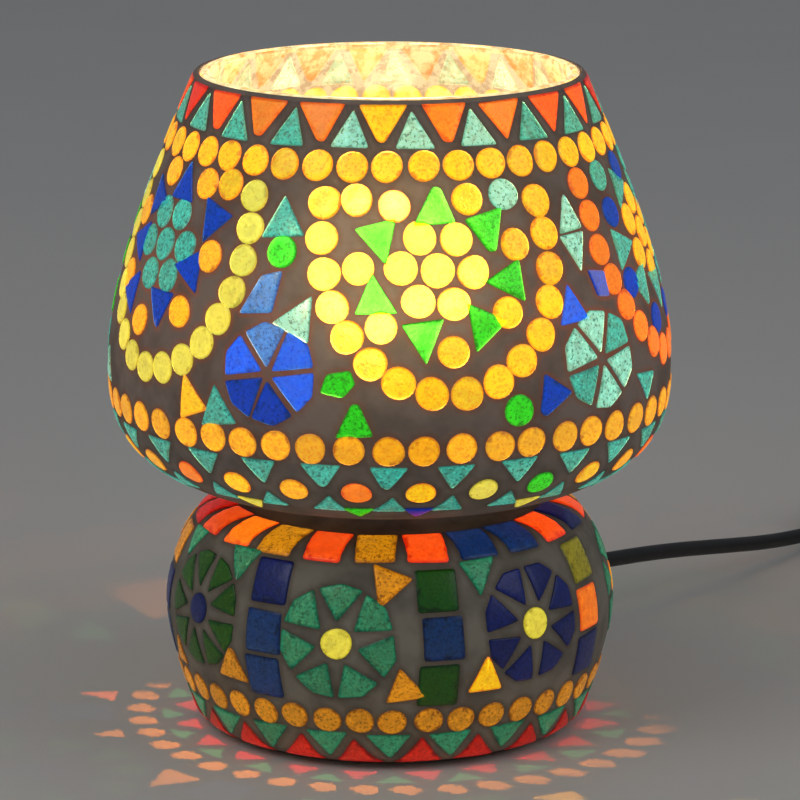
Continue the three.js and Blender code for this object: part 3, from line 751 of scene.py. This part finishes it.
class Mosaic:
    """Collects the cut pieces of one part of the body, under the name of each group and glass."""

    def __init__(self, outline):
        self.outline = outline
        self.groups = {}
        self.laid = []

    def lay(self, group, glass, shape, angle, height, lean=0.0):
        """Presses one piece onto the outline. angle is in degrees round from the front, to the right."""
        corners, faces, edges, tones = self.groups.setdefault((group, glass), ([], [], [], []))
        shape = turned_by(shape, lean + wavy(LEAN_SLIP))
        centre = [sum(point[axis] for point in shape) / len(shape) for axis in (0, 1)]
        middle = self.outline.length_at(height / 1000)
        tone = chance.random()
        lean_across, lean_up = wavy(TILT_SLIP), wavy(TILT_SLIP)
        start, count = len(corners), len(shape)
        self.laid.append((angle, middle, centre, shape))

        def add(across, up, depth, edge):
            (radius, level), (out_r, out_z) = self.outline.at(middle - up)
            turn = math.radians(angle) + across / radius
            depth += TILE_FACE + abs(lean_across * across + lean_up * up) * 0.5
            reach = radius - depth * out_r
            corners.append((reach * math.sin(turn), -reach * math.cos(turn), level - depth * out_z))
            edges.append(edge)
            tones.append(tone)

        add(*centre, 0.0, 0.0)
        for share, depth, edge in TILE_RINGS:
            for x, y in shape:
                add(centre[0] + share * (x - centre[0]), centre[1] + share * (y - centre[1]), depth, edge)
        for k in range(count):
            faces.append((start, start + 1 + k, start + 1 + (k + 1) % count))
        for ring in range(len(TILE_RINGS) - 1):
            inner, outer = start + 1 + ring * count, start + 1 + (ring + 1) * count
            for k in range(count):
                beside = (k + 1) % count
                faces.append((inner + k, outer + k, outer + beside, inner + beside))

    def beds(self, rows, columns):
        """The cells of a grid over the outline that lie wholly under a piece of glass."""
        under = set()
        length = self.outline.lengths[-1]
        for angle, middle, centre, shape in self.laid:
            bed = [tuple(c + BED_SHARE * (p - c) for p, c in zip(point, centre)) for point in shape]
            reach = max(math.hypot(*point) for point in bed)
            first_row = max(int((middle - reach) / length * rows), 0)
            last_row = min(int((middle + reach) / length * rows) + 1, rows - 1)
            for row in range(first_row, last_row + 1):
                sides = [length * (row + n) / rows for n in (0, 1)]
                radius = self.outline.at(sides[0])[0][0]
                spread = int(math.degrees(reach / radius) / 360 * columns) + 1
                nearest = round((angle % 360) / 360 * columns - 0.5)
                for column in range(nearest - spread, nearest + spread + 1):
                    turns = [((column + n) * 360 / columns - angle + 180) % 360 - 180 for n in (0, 1)]
                    if all(inside_outline(math.radians(turn) * radius, middle - at, bed)
                           for turn in turns for at in sides):
                        under.add((row, column % columns))
        return under

    def beside(self, rows, columns):
        """How near each corner of a grid over the outline is to the edge of a piece, from 0 to 1."""
        near = [0.0] * ((rows + 1) * columns)
        length = self.outline.lengths[-1]
        radii = [self.outline.at(length * row / rows)[0][0] for row in range(rows + 1)]
        for angle, middle, centre, shape in self.laid:
            reach = max(math.dist(point, centre) for point in shape) + PAINTED_SHADE_AND_GLOW_REACH
            spans = [(Vector(a), Vector(b) - Vector(a)) for a, b in zip(shape, shape[1:] + shape[:1])]
            first_row = max(math.ceil((middle - centre[1] - reach) / length * rows), 0)
            last_row = min(int((middle - centre[1] + reach) / length * rows), rows)
            for row in range(first_row, last_row + 1):
                up = middle - length * row / rows
                first = math.ceil((angle + math.degrees((centre[0] - reach) / radii[row])) / 360 * columns)
                last = int((angle + math.degrees((centre[0] + reach) / radii[row])) / 360 * columns)
                for column in range(first, last + 1):
                    point = Vector((math.radians(column * 360 / columns - angle) * radii[row], up))
                    gap = min(gap_to(point, start, span) for start, span in spans)
                    cell = row * columns + column % columns
                    near[cell] = max(near[cell], 1 - gap / PAINTED_SHADE_AND_GLOW_REACH)
        return near

    def grout(self, name, rows, columns=360):
        """The grout between the pieces, left out under them so that light comes through the glass."""
        under = self.beds(rows, columns)
        length = self.outline.lengths[-1]
        corners = []
        for row in range(rows + 1):
            (radius, level), (out_r, out_z) = self.outline.at(length * row / rows)
            reach, level = radius - GROUT_DEPTH * out_r, level - GROUT_DEPTH * out_z
            for column in range(columns):
                turn = math.tau * column / columns
                corners.append((reach * math.sin(turn), -reach * math.cos(turn), level))
        faces = []
        for row in range(rows):
            for column in range(columns):
                if (row, column) not in under:
                    beside = (column + 1) % columns
                    faces.append((row * columns + column, (row + 1) * columns + column,
                                  (row + 1) * columns + beside, row * columns + beside))
        mesh = mesh_of(name, corners, faces, 80)
        # the mask for the grout's painted shade and glow beside the pieces
        beside = mesh.attributes.new("beside", "FLOAT", "POINT")
        beside.data.foreach_set("value", self.beside(rows, columns))
        return mesh

    def finish(self, part, node, slot):
        for (group, glass), (corners, faces, edges, tones) in self.groups.items():
            name = f"{part}_{group}_{glass}".replace(" ", "_")
            mesh = mesh_of(name, corners, faces, 55)
            for key, values in (("edge", edges), ("tone", tones)):
                mesh.attributes.new(key, "FLOAT", "POINT").data.foreach_set("value", values)
            add_piece(name, mesh, [GLASS[glass]], replaces=[node])


# ---------------------------------------------------------------- motifs

SMALL_DISC = 0.005
PANEL_RADIUS = 84  # mm, of the shade where the panels lie
STEPS_TO_A_KNOT = 12


def row_of_discs(mosaic, group, glass, count, height, first, radius=SMALL_DISC):
    for k in range(count):
        mosaic.lay(group, glass, disc(radius), first + 360 * k / count + wavy(0.4), height + wavy(0.3))


def each(mosaic, group, glass, shape, places):
    """Lays a new piece of one kind at each (angle, height, lean)."""
    for place in places:
        angle, height, *lean = place
        mosaic.lay(group, glass, shape(), angle, height, *lean)


def chain_of_discs(mosaic, group, glass, knots, count, radius=SMALL_DISC):
    """Discs spaced evenly along a smooth line through the (angle, height) knots."""
    line = []
    for k in range(len(knots) - 1):
        a, b, c, d = (Vector(knots[min(max(k + n, 0), len(knots) - 1)]) for n in (-1, 0, 1, 2))
        for step in range(STEPS_TO_A_KNOT):
            t = step / STEPS_TO_A_KNOT
            line.append(0.5 * (2 * b + (c - a) * t + (2 * a - 5 * b + 4 * c - d) * t * t
                               + (3 * b - a - 3 * c + d) * t ** 3))
    line.append(Vector(knots[-1]))
    lengths = [0.0]
    for before, after in zip(line, line[1:]):
        along, up = after - before
        lengths.append(lengths[-1] + math.hypot(math.radians(along) * PANEL_RADIUS, up))
    for n in range(count):
        wanted = lengths[-1] * n / (count - 1)
        k = next(k for k in range(len(line) - 1) if lengths[k + 1] >= wanted - 1e-6)
        share = (wanted - lengths[k]) / (lengths[k + 1] - lengths[k])
        angle, height = line[k].lerp(line[k + 1], share)
        mosaic.lay(group, glass, disc(radius), angle + wavy(0.3), height + wavy(0.3))


def rosette(mosaic, group, glass, angle, height, spacing=0.0112, lean=20.0):
    """One disc with six more round it."""
    mosaic.lay(group, glass, disc(0.0053), angle, height)
    for k in range(6):
        turn = math.radians(lean + 60 * k)
        middle = spacing * math.cos(turn), spacing * math.sin(turn)
        mosaic.lay(group, glass, shifted(disc(0.0052), *middle), angle, height)


def wheel(mosaic, group, glass, angle, height, outer, wedges, inner=0.0022, lean=0.0, gap=0.0):
    """Wedges round a point. gap is in degrees."""
    step = 360 / wedges
    for k in range(wedges):
        start = lean + step * k
        wedge = petal(inner, outer, start + gap, start + step - gap)
        mosaic.lay(group, glass[k % len(glass)], wedge, angle, height)


# ---------------------------------------------------------------- the shade's mosaic

shade = Mosaic(SHADE)
RIM_PAIRS = 21
RIM_PITCH = 360 / RIM_PAIRS
RIM_COLOURS = [
    "yellow", "orange", "orange", "red orange", "red orange", "red", "red", "red orange", "red orange",
    "orange", "red", "orange", "red orange", "red orange", "orange", "red", "red orange", "red",
    "red orange", "orange", "orange",
]
PALE_RIM_PLACES = (0, 1, 8, 12, 20)
for k in range(RIM_PAIRS):
    at = -1.8 + RIM_PITCH * k
    shade.lay("rim", RIM_COLOURS[k], triangle(0.0150, 0.0130, -1), at, 205.2)
    teal = "pale teal" if k in PALE_RIM_PLACES else "teal"
    shade.lay("rim", teal, triangle(0.0122, 0.0124), at + RIM_PITCH / 2, 204.3)
row_of_discs(shade, "upper_row", "yellow", 41, 193.4, -0.4, 0.0049)
row_of_discs(shade, "lower_row", "gold", 49, 110.0, -0.3, 0.0049)

UNDER_GROUPS = 27
UNDER_PITCH = 360 / UNDER_GROUPS
UNDER_DISCS = ["yellow", "lime", "green", "yellow", "gold", "orange", "yellow", "gold", "orange"]
UNDER_LOWEST = ["blue", "lime", "lime", "green", "teal", "gold", "lime", "teal", "green"]
for k in range(UNDER_GROUPS):
    at = -0.1 + UNDER_PITCH * k
    shade.lay("under", "teal", triangle(0.0128, 0.0092, -1), at, 100.6)
    shade.lay("under", UNDER_DISCS[k % len(UNDER_DISCS)], disc(0.0047), at + UNDER_PITCH / 2, 95.0)
    shade.lay("under", "teal", triangle(0.0105, 0.0095), at, 90.6)
    if k % 2 == 0:
        lowest = UNDER_LOWEST[k % len(UNDER_LOWEST)]
        shade.lay("under", lowest, triangle(0.0100, 0.0080, -1), at + UNDER_PITCH / 2, 86.6)


def loop_knots(centre, half=25.5, top=184.0, bottom=126.8):
    """A hanging loop, open at the top."""
    return [(centre - half - 1.0, top), (centre - half, 163.0), (centre - half * 0.76, 144.0),
            (centre - half * 0.4, 131.5), (centre, bottom), (centre + half * 0.44, 130.5),
            (centre + half * 0.8, 143.0), (centre + half, 162.0), (centre + half, top - 1.0)]


def small_triangle(width=0.0138, tall=0.0130):
    return lambda: triangle(width, tall)


# the front panel: a yellow loop with a yellow rosette among green
FRONT = 10.4
chain_of_discs(shade, "front_loop", "yellow", loop_knots(FRONT + 1.0, top=182.6), 16, 0.0052)
rosette(shade, "front_rosette", "yellow", FRONT, 163.6, lean=55)
each(shade, "front_panel", "green", small_triangle(0.0140, 0.0124), [(FRONT, 182.6)])
each(shade, "front_panel", "green", small_triangle(), [
    (-2.0, 171.4, 192), (23.3, 173.5, 196), (25.0, 159.3, 92),
    (18.4, 148.4, 40), (-2.8, 157.2, 2), (7.0, 142.6, 186),
])
each(shade, "front_panel", "yellow", disc, [
    (-7.6, 183.9), (18.6, 183.6), (28.8, 169.6), (24.9, 150.2), (12.8, 139.8), (-6.6, 164.3), (-1.6, 147.4),
])
each(shade, "front_panel", "orange", disc, [(1.2, 182.2)])
each(shade, "front_panel", "pale teal", disc, [(28.0, 184.2)])

# the left panel: a lime loop with a teal rosette among blue
chain_of_discs(shade, "left_loop", "lime", loop_knots(-57.5, 24.0), 17)
rosette(shade, "left_rosette", "teal", -59.2, 164.4, lean=5)
each(shade, "left_panel", "yellow", disc, [(-41.5, 185.4)])
each(shade, "left_panel", "gold", disc, [
    (-49.4, 184.4), (-66.0, 185.2), (-42.6, 164.0), (-48.4, 146.2),
    (-62.4, 140.2), (-74.0, 151.4), (-76.0, 171.0),
])
each(shade, "left_panel", "blue", small_triangle(), [
    (-57.8, 184.0, 0), (-70.2, 178.4, 30), (-45.0, 173.4, 160), (-73.6, 162.4, 90), (-47.2, 157.4, 210),
    (-69.2, 149.0, 330), (-55.8, 145.0, 180),
])

# the right panel: an orange loop with a yellow rosette among blue and teal
chain_of_discs(shade, "right_loop", "orange", loop_knots(77.0, 23.5), 16)
rosette(shade, "right_rosette", "yellow", 78.0, 163.6, lean=30)
each(shade, "right_panel", "blue", disc, [
    (62.2, 173.4), (62.4, 151.7), (72.0, 137.9), (75.0, 185.0), (93.0, 152.0), (93.4, 173.0), (84.6, 139.0),
])
each(shade, "right_panel", "teal", small_triangle(), [
    (70.6, 177.4, 150), (64.2, 162.4, 270), (68.6, 148.4, 200), (77.6, 145.2, 180), (87.8, 150.0, 160),
    (91.4, 163.0, 90), (85.6, 177.0, 30),
])
each(shade, "right_panel", "teal", disc, [(62.0, 184.6), (88.0, 185.0)])

# the two panels round the back
BACK_MIDDLE = 163.8


def round_about(centre, across, up, degrees):
    """The (angle, height) of a place on an oval round a back panel's middle."""
    turn = math.radians(degrees)
    return centre + across * math.sin(turn), BACK_MIDDLE + up * math.cos(turn)


for centre, loop, rose, spread, discs in [(152.0, "yellow", "teal", "green", "gold"),
                                          (-132.5, "orange", "lime", "bright blue", "yellow")]:
    group = "back_right" if centre > 0 else "back_left"
    chain_of_discs(shade, group + "_loop", loop, loop_knots(centre, 24.5), 17)
    rosette(shade, group + "_rosette", rose, centre, BACK_MIDDLE, lean=chance.uniform(0, 60))
    each(shade, group + "_panel", spread, small_triangle(), [
        (*round_about(centre, 12.6, 19.0, turn), 180 - turn) for turn in range(0, 360, 60)
    ])
    each(shade, group + "_panel", discs, disc, [
        round_about(centre, 15.4, 19.5, turn) for turn in range(30, 360, 60)
    ])

# between the panels: a wheel, with loose pieces over and beside it
for angle, glass in [(-24.4, ["bright blue", "sky", "bright blue", "blue", "blue", "bright blue"]),
                     (47.1, ["teal", "pale teal", "pale teal"]), (114.5, ["bright blue", "sky"]),
                     (-170.0, ["teal"]), (-95.0, ["green", "teal"])]:
    group = "wheel_" + ("left" if angle < 0 else "right") + str(abs(round(angle)))
    wheel(shade, group, glass, angle, 132.0, 0.0160, 6, 0.0018, lean=10, gap=2.6)
LEFT_QUAD = [(-0.0068, -0.0072), (0.0052, -0.0060), (0.0066, 0.0074), (-0.0004, 0.0054)]
LEFT_CHIP = [(-0.0056, -0.0030), (0.0016, -0.0044), (0.0052, -0.0002), (0.0034, 0.0040), (-0.0040, 0.0032)]
RIGHT_QUAD = [(-0.0030, 0.0050), (0.0050, 0.0036), (0.0052, -0.0048), (-0.0010, -0.0040)]
GAPS = [
    ("left", "teal", small_triangle(0.0140, 0.0132), [(-25.0, 178.6, 6), (-35.6, 121.0, 8)]),
    ("left", "green", disc, [(-24.0, 168.0)]),
    ("left", "sky", lambda: hand_cut(LEFT_QUAD), [(-27.8, 155.8)]),
    ("left", "pale teal", small_triangle(0.0132, 0.0134), [(-18.4, 150.6, -25)]),
    ("left", "yellow", small_triangle(0.0124, 0.0136), [(-43.0, 122.4, 20)]),
    ("left", "green", lambda: hand_cut(LEFT_CHIP), [(-9.9, 130.4)]),
    ("left", "green", small_triangle(0.0118, 0.0112), [(-7.2, 119.6, 5)]),
    ("right", "pale teal", small_triangle(0.0114, 0.0124), [(44.9, 176.8, 4), (45.2, 164.6, 184)]),
    ("right", "blue", lambda: hand_cut(RIGHT_QUAD), [(49.4, 154.6)]),
    ("right", "bright blue", small_triangle(0.0120, 0.0128), [(40.8, 150.6, 0)]),
    ("right", "blue", small_triangle(0.0124, 0.0124), [(33.2, 122.2, 150)]),
    ("right", "green", disc, [(25.9, 120.6)]),
    ("right", "teal", small_triangle(0.0105, 0.0125), [(61.4, 121.4, 60)]),
]
for side, glass, shape, places in GAPS:
    each(shade, side + "_gap", glass, shape, places)
for angle in (114.5, -170.0, -95.0):
    each(shade, "back_gaps", "pale teal", small_triangle(0.0110, 0.0115),
         [(angle, 176.5, 3), (angle + 14, 121.0)])
    each(shade, "back_gaps", "blue", small_triangle(), [(angle - 3.2, 155.0, 180), (angle - 14, 121.5, 10)])
    each(shade, "back_gaps", "green", disc, [(angle + 1.0, 165.6), (angle + 4.0, 154.0)])

# ---------------------------------------------------------------- the base's mosaic

base = Mosaic(BASE)
SQUARES = [
    "amber", "red orange", "slate", "slate", "red orange", "navy", "red orange", "amber", "red orange",
    "navy", "amber", "red orange", "slate", "amber", "navy", "red orange", "amber", "dark red", "dark red",
    "red orange", "orange", "amber", "red orange",
]
SQUARE_PITCH = 360 / len(SQUARES)
for k, glass in enumerate(SQUARES):
    base.lay("top_row", glass, square(0.0128, 0.0150), -4.3 + SQUARE_PITCH * k, 71.9)
row_of_discs(base, "amber_row", "amber", 40, 17.6, 1.1, 0.0046)
FOOT_PAIRS = 21
FOOT_PITCH = 360 / FOOT_PAIRS
for k in range(FOOT_PAIRS):
    at = 8.4 + FOOT_PITCH * k
    base.lay("foot", "dark red", triangle(0.0156, 0.0112), at, 6.4)
    base.lay("foot", "emerald", triangle(0.0146, 0.0100, -1), at + FOOT_PITCH / 2, 8.4)

FLOWERS = [(-13.2, 43.8, "emerald", "lime", 7, 12), (39.5, 46.2, "navy", "lime", 8, 4),
           (-57.5, 46.2, "dark green", "navy", 9, 0), (92.0, 45.5, "emerald", "yellow", 8, 10),
           (143.0, 45.0, "navy", "lime", 8, 0), (-165.0, 45.5, "dark green", "yellow", 8, 6),
           (-110.0, 45.0, "emerald", "lime", 7, 20)]
for number, (angle, height, glass, dot, wedges, lean) in enumerate(FLOWERS):
    group = f"flower_{number + 1}"
    wheel(base, group, [glass], angle, height, 0.0194, wedges, 0.0066, lean, 2.6)
    base.lay(group, dot, disc(0.0050), angle, height)

COLUMNS = [(-33.0, ["navy", "slate", "slate"]), (13.0, ["dark green", "slate", "dark green"]),
           (62.0, ["olive", "orange", "navy"]), (117.0, ["slate", "amber", "navy"]),
           (168.5, ["dark green", "navy", "slate"]), (-137.0, ["navy", "amber", "dark green"]),
           (-83.5, ["amber", "navy", "slate"])]
for angle, glasses in COLUMNS:
    for glass, height in zip(glasses, (60.2, 45.4, 30.2)):
        base.lay("columns", glass, square(0.0130, 0.0138), angle + wavy(0.8), height + wavy(0.4))
each(base, "fillers", "emerald", lambda: triangle(0.0124, 0.0124, -1), [(-45.0, 63.0), (25.4, 62.4)])
each(base, "fillers", "amber", lambda: triangle(0.0136, 0.0122),
     [(-0.8, 60.6, 160), (-44.0, 32.0, 0), (3.4, 31.0, 8)])
each(base, "fillers", "yellow", lambda: triangle(0.0122, 0.0124), [(25.2, 32.8)])
for angle, _ in COLUMNS[3:]:
    base.lay("fillers", "emerald", triangle(0.0110, 0.0104, -1), angle + 12.4, 63.4)
    base.lay("fillers", "amber", triangle(0.0104, 0.0104), angle - 13.0, 63.4)
    base.lay("fillers", "orange", triangle(0.0100, 0.0100), angle - 11.6, 28.4)
    base.lay("fillers", "amber", triangle(0.0104, 0.0104), angle + 12.0, 28.4)

shade.finish("shade", "shade_mosaic", "shade_tiles")
base.finish("base", "base_mosaic", "base_tiles")

# ---------------------------------------------------------------- grout and blown glass

SHADE_ROWS = 132
BASE_ROWS = 84
shade_grout = add_piece("shade_grout", shade.grout("shade_grout", SHADE_ROWS), [SHADE_GROUT],
                        replaces=["shade_mosaic"])
shade_grout.visible_transmission = False
add_piece("base_grout", base.grout("base_grout", BASE_ROWS), [BASE_GROUT], replaces=["base_mosaic"])
TOP_BEAD = [(0.0623, 0.2100), (0.0622, 0.2112), (0.0616, 0.2119), (0.0609, 0.2121), (0.0603, 0.2118),
            (0.0602, 0.2112)]
add_piece("top_bead", turned("top_bead", TOP_BEAD, 128), [SHADE_GROUT], replaces=["shade_mosaic"])
FOOT_BEAD = [(0.0560, 0.0005), (0.0552, 0.0008), (0.0546, 0.0030), (0.0524, 0.0044), (0.0495, 0.0045)]
add_piece("foot_bead", turned("foot_bead", FOOT_BEAD, 128), [BASE_GROUT], replaces=["base_mosaic"])

LIP = [(0.0571, 0.2112), (0.0573, 0.2119), (0.0580, 0.2124),
       (0.0590, 0.2124), (0.0597, 0.2120), (0.0600, 0.2113)]
FOOT = [(0.0525, 0.0046), (0.0440, 0.0046), (0.0440, 0.0074), (0.0535, 0.0074)]
HEM_POINTS = 18  # of the base's outline, under the glass
outside = SHADE.sunk(GLASS_DEPTH) + BASE.sunk(GLASS_DEPTH)[:-HEM_POINTS]
inside = SHADE.sunk(GLASS_DEPTH + GLASS_WALL) + BASE.sunk(GLASS_DEPTH + GLASS_WALL)[:-Outline.STEPS]
body_profile = LIP + outside + FOOT + inside[::-1]
blown = add_piece("glass_body_blown", turned("glass_body_blown", body_profile, 96, True), [BODY_GLASS],
                  replaces=["glass_body"])
# clear glass hardly holds the lamplight back
blown.visible_shadow = False
blown.visible_transmission = False

# ---------------------------------------------------------------- bulb

NECK_RADIUS = 0.0059
BULB_RADIUS = 0.0225
BULB_CENTRE = 0.145
bulb_profile = [(NECK_RADIUS, 0.1118), (NECK_RADIUS, 0.1200), (0.0062, 0.1232),
                (0.0088, 0.1268), (0.0140, 0.1302), (0.0186, 0.1338)]
BULB_STEPS = 16
for k in range(BULB_STEPS + 1):
    turn = math.radians(-20 + 110 * k / BULB_STEPS)
    bulb_profile.append((BULB_RADIUS * math.cos(turn), BULB_CENTRE + BULB_RADIUS * math.sin(turn)))
add_piece("bulb_envelope", turned("bulb_envelope", bulb_profile, 64), [BULB_GLASS],
          "bulb", ["bulb_glass"])

# ---------------------------------------------------------------- CAD pieces with their finishes

FINISHES = [
    (BRASS, ["bulb_cap", "nipple", "thread_sleeve", "centre_contact", "side_contact",
             "terminal_screw_live", "terminal_screw_neutral", "core_live", "core_neutral",
             "plug_pin_left", "plug_pin_right", "switch_contact_left", "switch_contact_right"]),
    (STEEL, ["spider", "clamp_bar", "clamp_washer", "clamp_nut", "lock_washer", "holder_grub_screw",
             "base_plate", "bulb_contact", "switch_screw_1", "switch_screw_2", "rocker_pin",
             "lead_wire_left", "lead_wire_right"]),
    (BLACK_PLASTIC, ["holder_base", "holder_shell", "gland_nut", "bulb_insulator", "plug_body",
                     "switch_lower_housing", "switch_upper_housing", "switch_rocker"]),
    (PALE_PLASTIC, ["holder_core"]),
    (BLACK_RUBBER, ["spider_pad_1", "spider_pad_2", "spider_pad_3", "clamp_pad_left", "clamp_pad_right",
                    "inner_cord", "cord_tie", "plug_sleeve"]),
    (FELT, ["foot_ring"]),
    (SEALANT, ["plate_sealant"]),
    (BULB_GLASS, ["bulb_stem", "filament"]),
]
BEVELS = {
    "bulb_cap": 0.0003, "holder_base": 0.0008, "holder_shell": 0.0005, "spider": 0.0004,
    "clamp_bar": 0.0004, "base_plate": 0.0004, "foot_ring": 0.0005, "switch_lower_housing": 0.0012,
    "switch_upper_housing": 0.0014, "switch_rocker": 0.0005, "plug_body": 0.0014,
    "plug_pin_left": 0.0009, "plug_pin_right": 0.0009, "cord_tie": 0.0002,
    "switch_screw_1": 0.0003, "switch_screw_2": 0.0003,
}
for finish, nodes in FINISHES:
    for node in nodes:
        if node in BEVELS:
            refined(node, finish, BEVELS[node])
        else:
            for place in bpy.data.objects[node].material_slots:
                place.material = finish

# ---------------------------------------------------------------- boot and cord

STEPS_TO_A_RIB = 8
PLAIN_END = 0.06  # share of the taper without a groove


def ribbed(length, start, end, ribs, groove):
    """A (distance, radius) outline that tapers and has ribs round it."""
    outline = []
    steps = ribs * STEPS_TO_A_RIB
    for k in range(steps + 1):
        share = k / steps
        radius = start + (end - start) * share
        if PLAIN_END < share < 1 - PLAIN_END:
            radius -= groove * (0.5 - 0.5 * math.cos(math.tau * ribs * share)) ** 2
        outline.append((length * share, radius))
    return outline


def turned_along(name, outline, origin, direction, around=32):
    """A turned piece along a direction through (distance, radius) points."""
    mesh = turned(name, [(radius, distance) for distance, radius in outline], around, smooth_below=40)
    turn = Vector((0, 0, 1)).rotation_difference(direction).to_matrix().to_4x4()
    turn.translation = origin
    mesh.transform(turn)
    return mesh


GLAND_DROOP = math.radians(7)
gland_origin = along_heading(0.0717, 0.0305)
gland_direction = HEADING * math.cos(GLAND_DROOP) - Vector((0, 0, math.sin(GLAND_DROOP)))
boot = [(-0.0115, 0.0), (-0.0115, 0.0046), (0.0009, 0.0046), (0.0009, 0.0076),
        (0.0013, 0.0080), (0.0024, 0.0080), (0.0029, 0.0074), (0.0031, 0.0058)]
boot += [(0.0031 + distance, radius) for distance, radius in ribbed(0.0305, 0.0056, 0.0037, 7, 0.0009)]
boot += [(0.0339, 0.0034), (0.0340, 0.0028), (0.0340, 0.0)]
add_piece("cord_boot", turned_along("cord_boot", boot, gland_origin, gland_direction), [BLACK_RUBBER],
          replaces=["cord_gland"])

cord = add_piece("cord", smooth_curve("cord", cord_points, CORD_DIAMETER / 2), [BLACK_RUBBER],
                 replaces=["cord_to_switch", "cord_to_coil", "cord_coil", "cord_to_plug"])

# ---------------------------------------------------------------- floor and light

FLOOR_DROP = 0.0002
bpy.context.view_layer.update()
floor_mesh = turned("floor", [(0.0, 0.0), (0.5, 0.0), (2.0, 0.0), (9.0, 0.0)], 64)
floor_material, floor_nodes, floor_surface = new_material("pale floor")
floor_grain = floor_nodes.noise(floor_nodes.place(), 6, 3, 0.6)
floor_shader = floor_nodes.add("ShaderNodeBsdfPrincipled", {
    "Base Color": floor_nodes.mix(floor_grain, linear(226, 222, 216), linear(219, 215, 209)),
    "Roughness": floor_nodes.math("MULTIPLY_ADD", floor_grain, 0.1, 0.45),
})
floor_nodes.tree.links.new(floor_shader.outputs[0], floor_surface)
floor = bpy.data.objects.new("floor", floor_mesh)
floor.location.z = -FLOOR_DROP
floor_mesh.materials.append(floor_material)
scene.collection.objects.link(floor)

world = bpy.data.worlds.new("soft room")
world.use_nodes = True
room_light = world.node_tree.nodes["Background"].inputs
room_light["Color"].default_value = linear(196, 202, 210)
room_light["Strength"].default_value = 0.29
scene.world = world


def add_light(name, kind, place, power, colour, size, aim=None):
    light = bpy.data.lights.new(name, kind)
    light.energy = power
    light.color = colour
    if kind == "AREA":
        light.size = size
    else:
        light.shadow_soft_size = size
    holder = bpy.data.objects.new(name, light)
    holder.location = place
    if aim is not None:
        holder.rotation_euler = (Vector(aim) - Vector(place)).to_track_quat("-Z", "Y").to_euler()
    scene.collection.objects.link(holder)
    return holder


LAMP_MIDDLE = (0, 0, 0.1)
BULB_COLOUR = (1.0, 0.70, 0.38)
add_light("soft key", "AREA", (-0.9, -0.8, 1.3), 4.0, (1.0, 0.98, 0.95), 0.9, LAMP_MIDDLE)
add_light("soft fill", "AREA", (1.1, -0.5, 0.9), 2.0, (0.95, 0.97, 1.0), 0.9, LAMP_MIDDLE)
for name, place, power, size in [("lamplight", (0, 0, 0.172), 0.8, 0.02),
                                 ("base light", (-0.016, -0.018, 0.0870), 0.6, 0.0012)]:
    inner = add_light(name, "POINT", place, power, BULB_COLOUR, size)
    inner.visible_transmission = False
    inner.visible_glossy = False

bpy.context.view_layer.update()
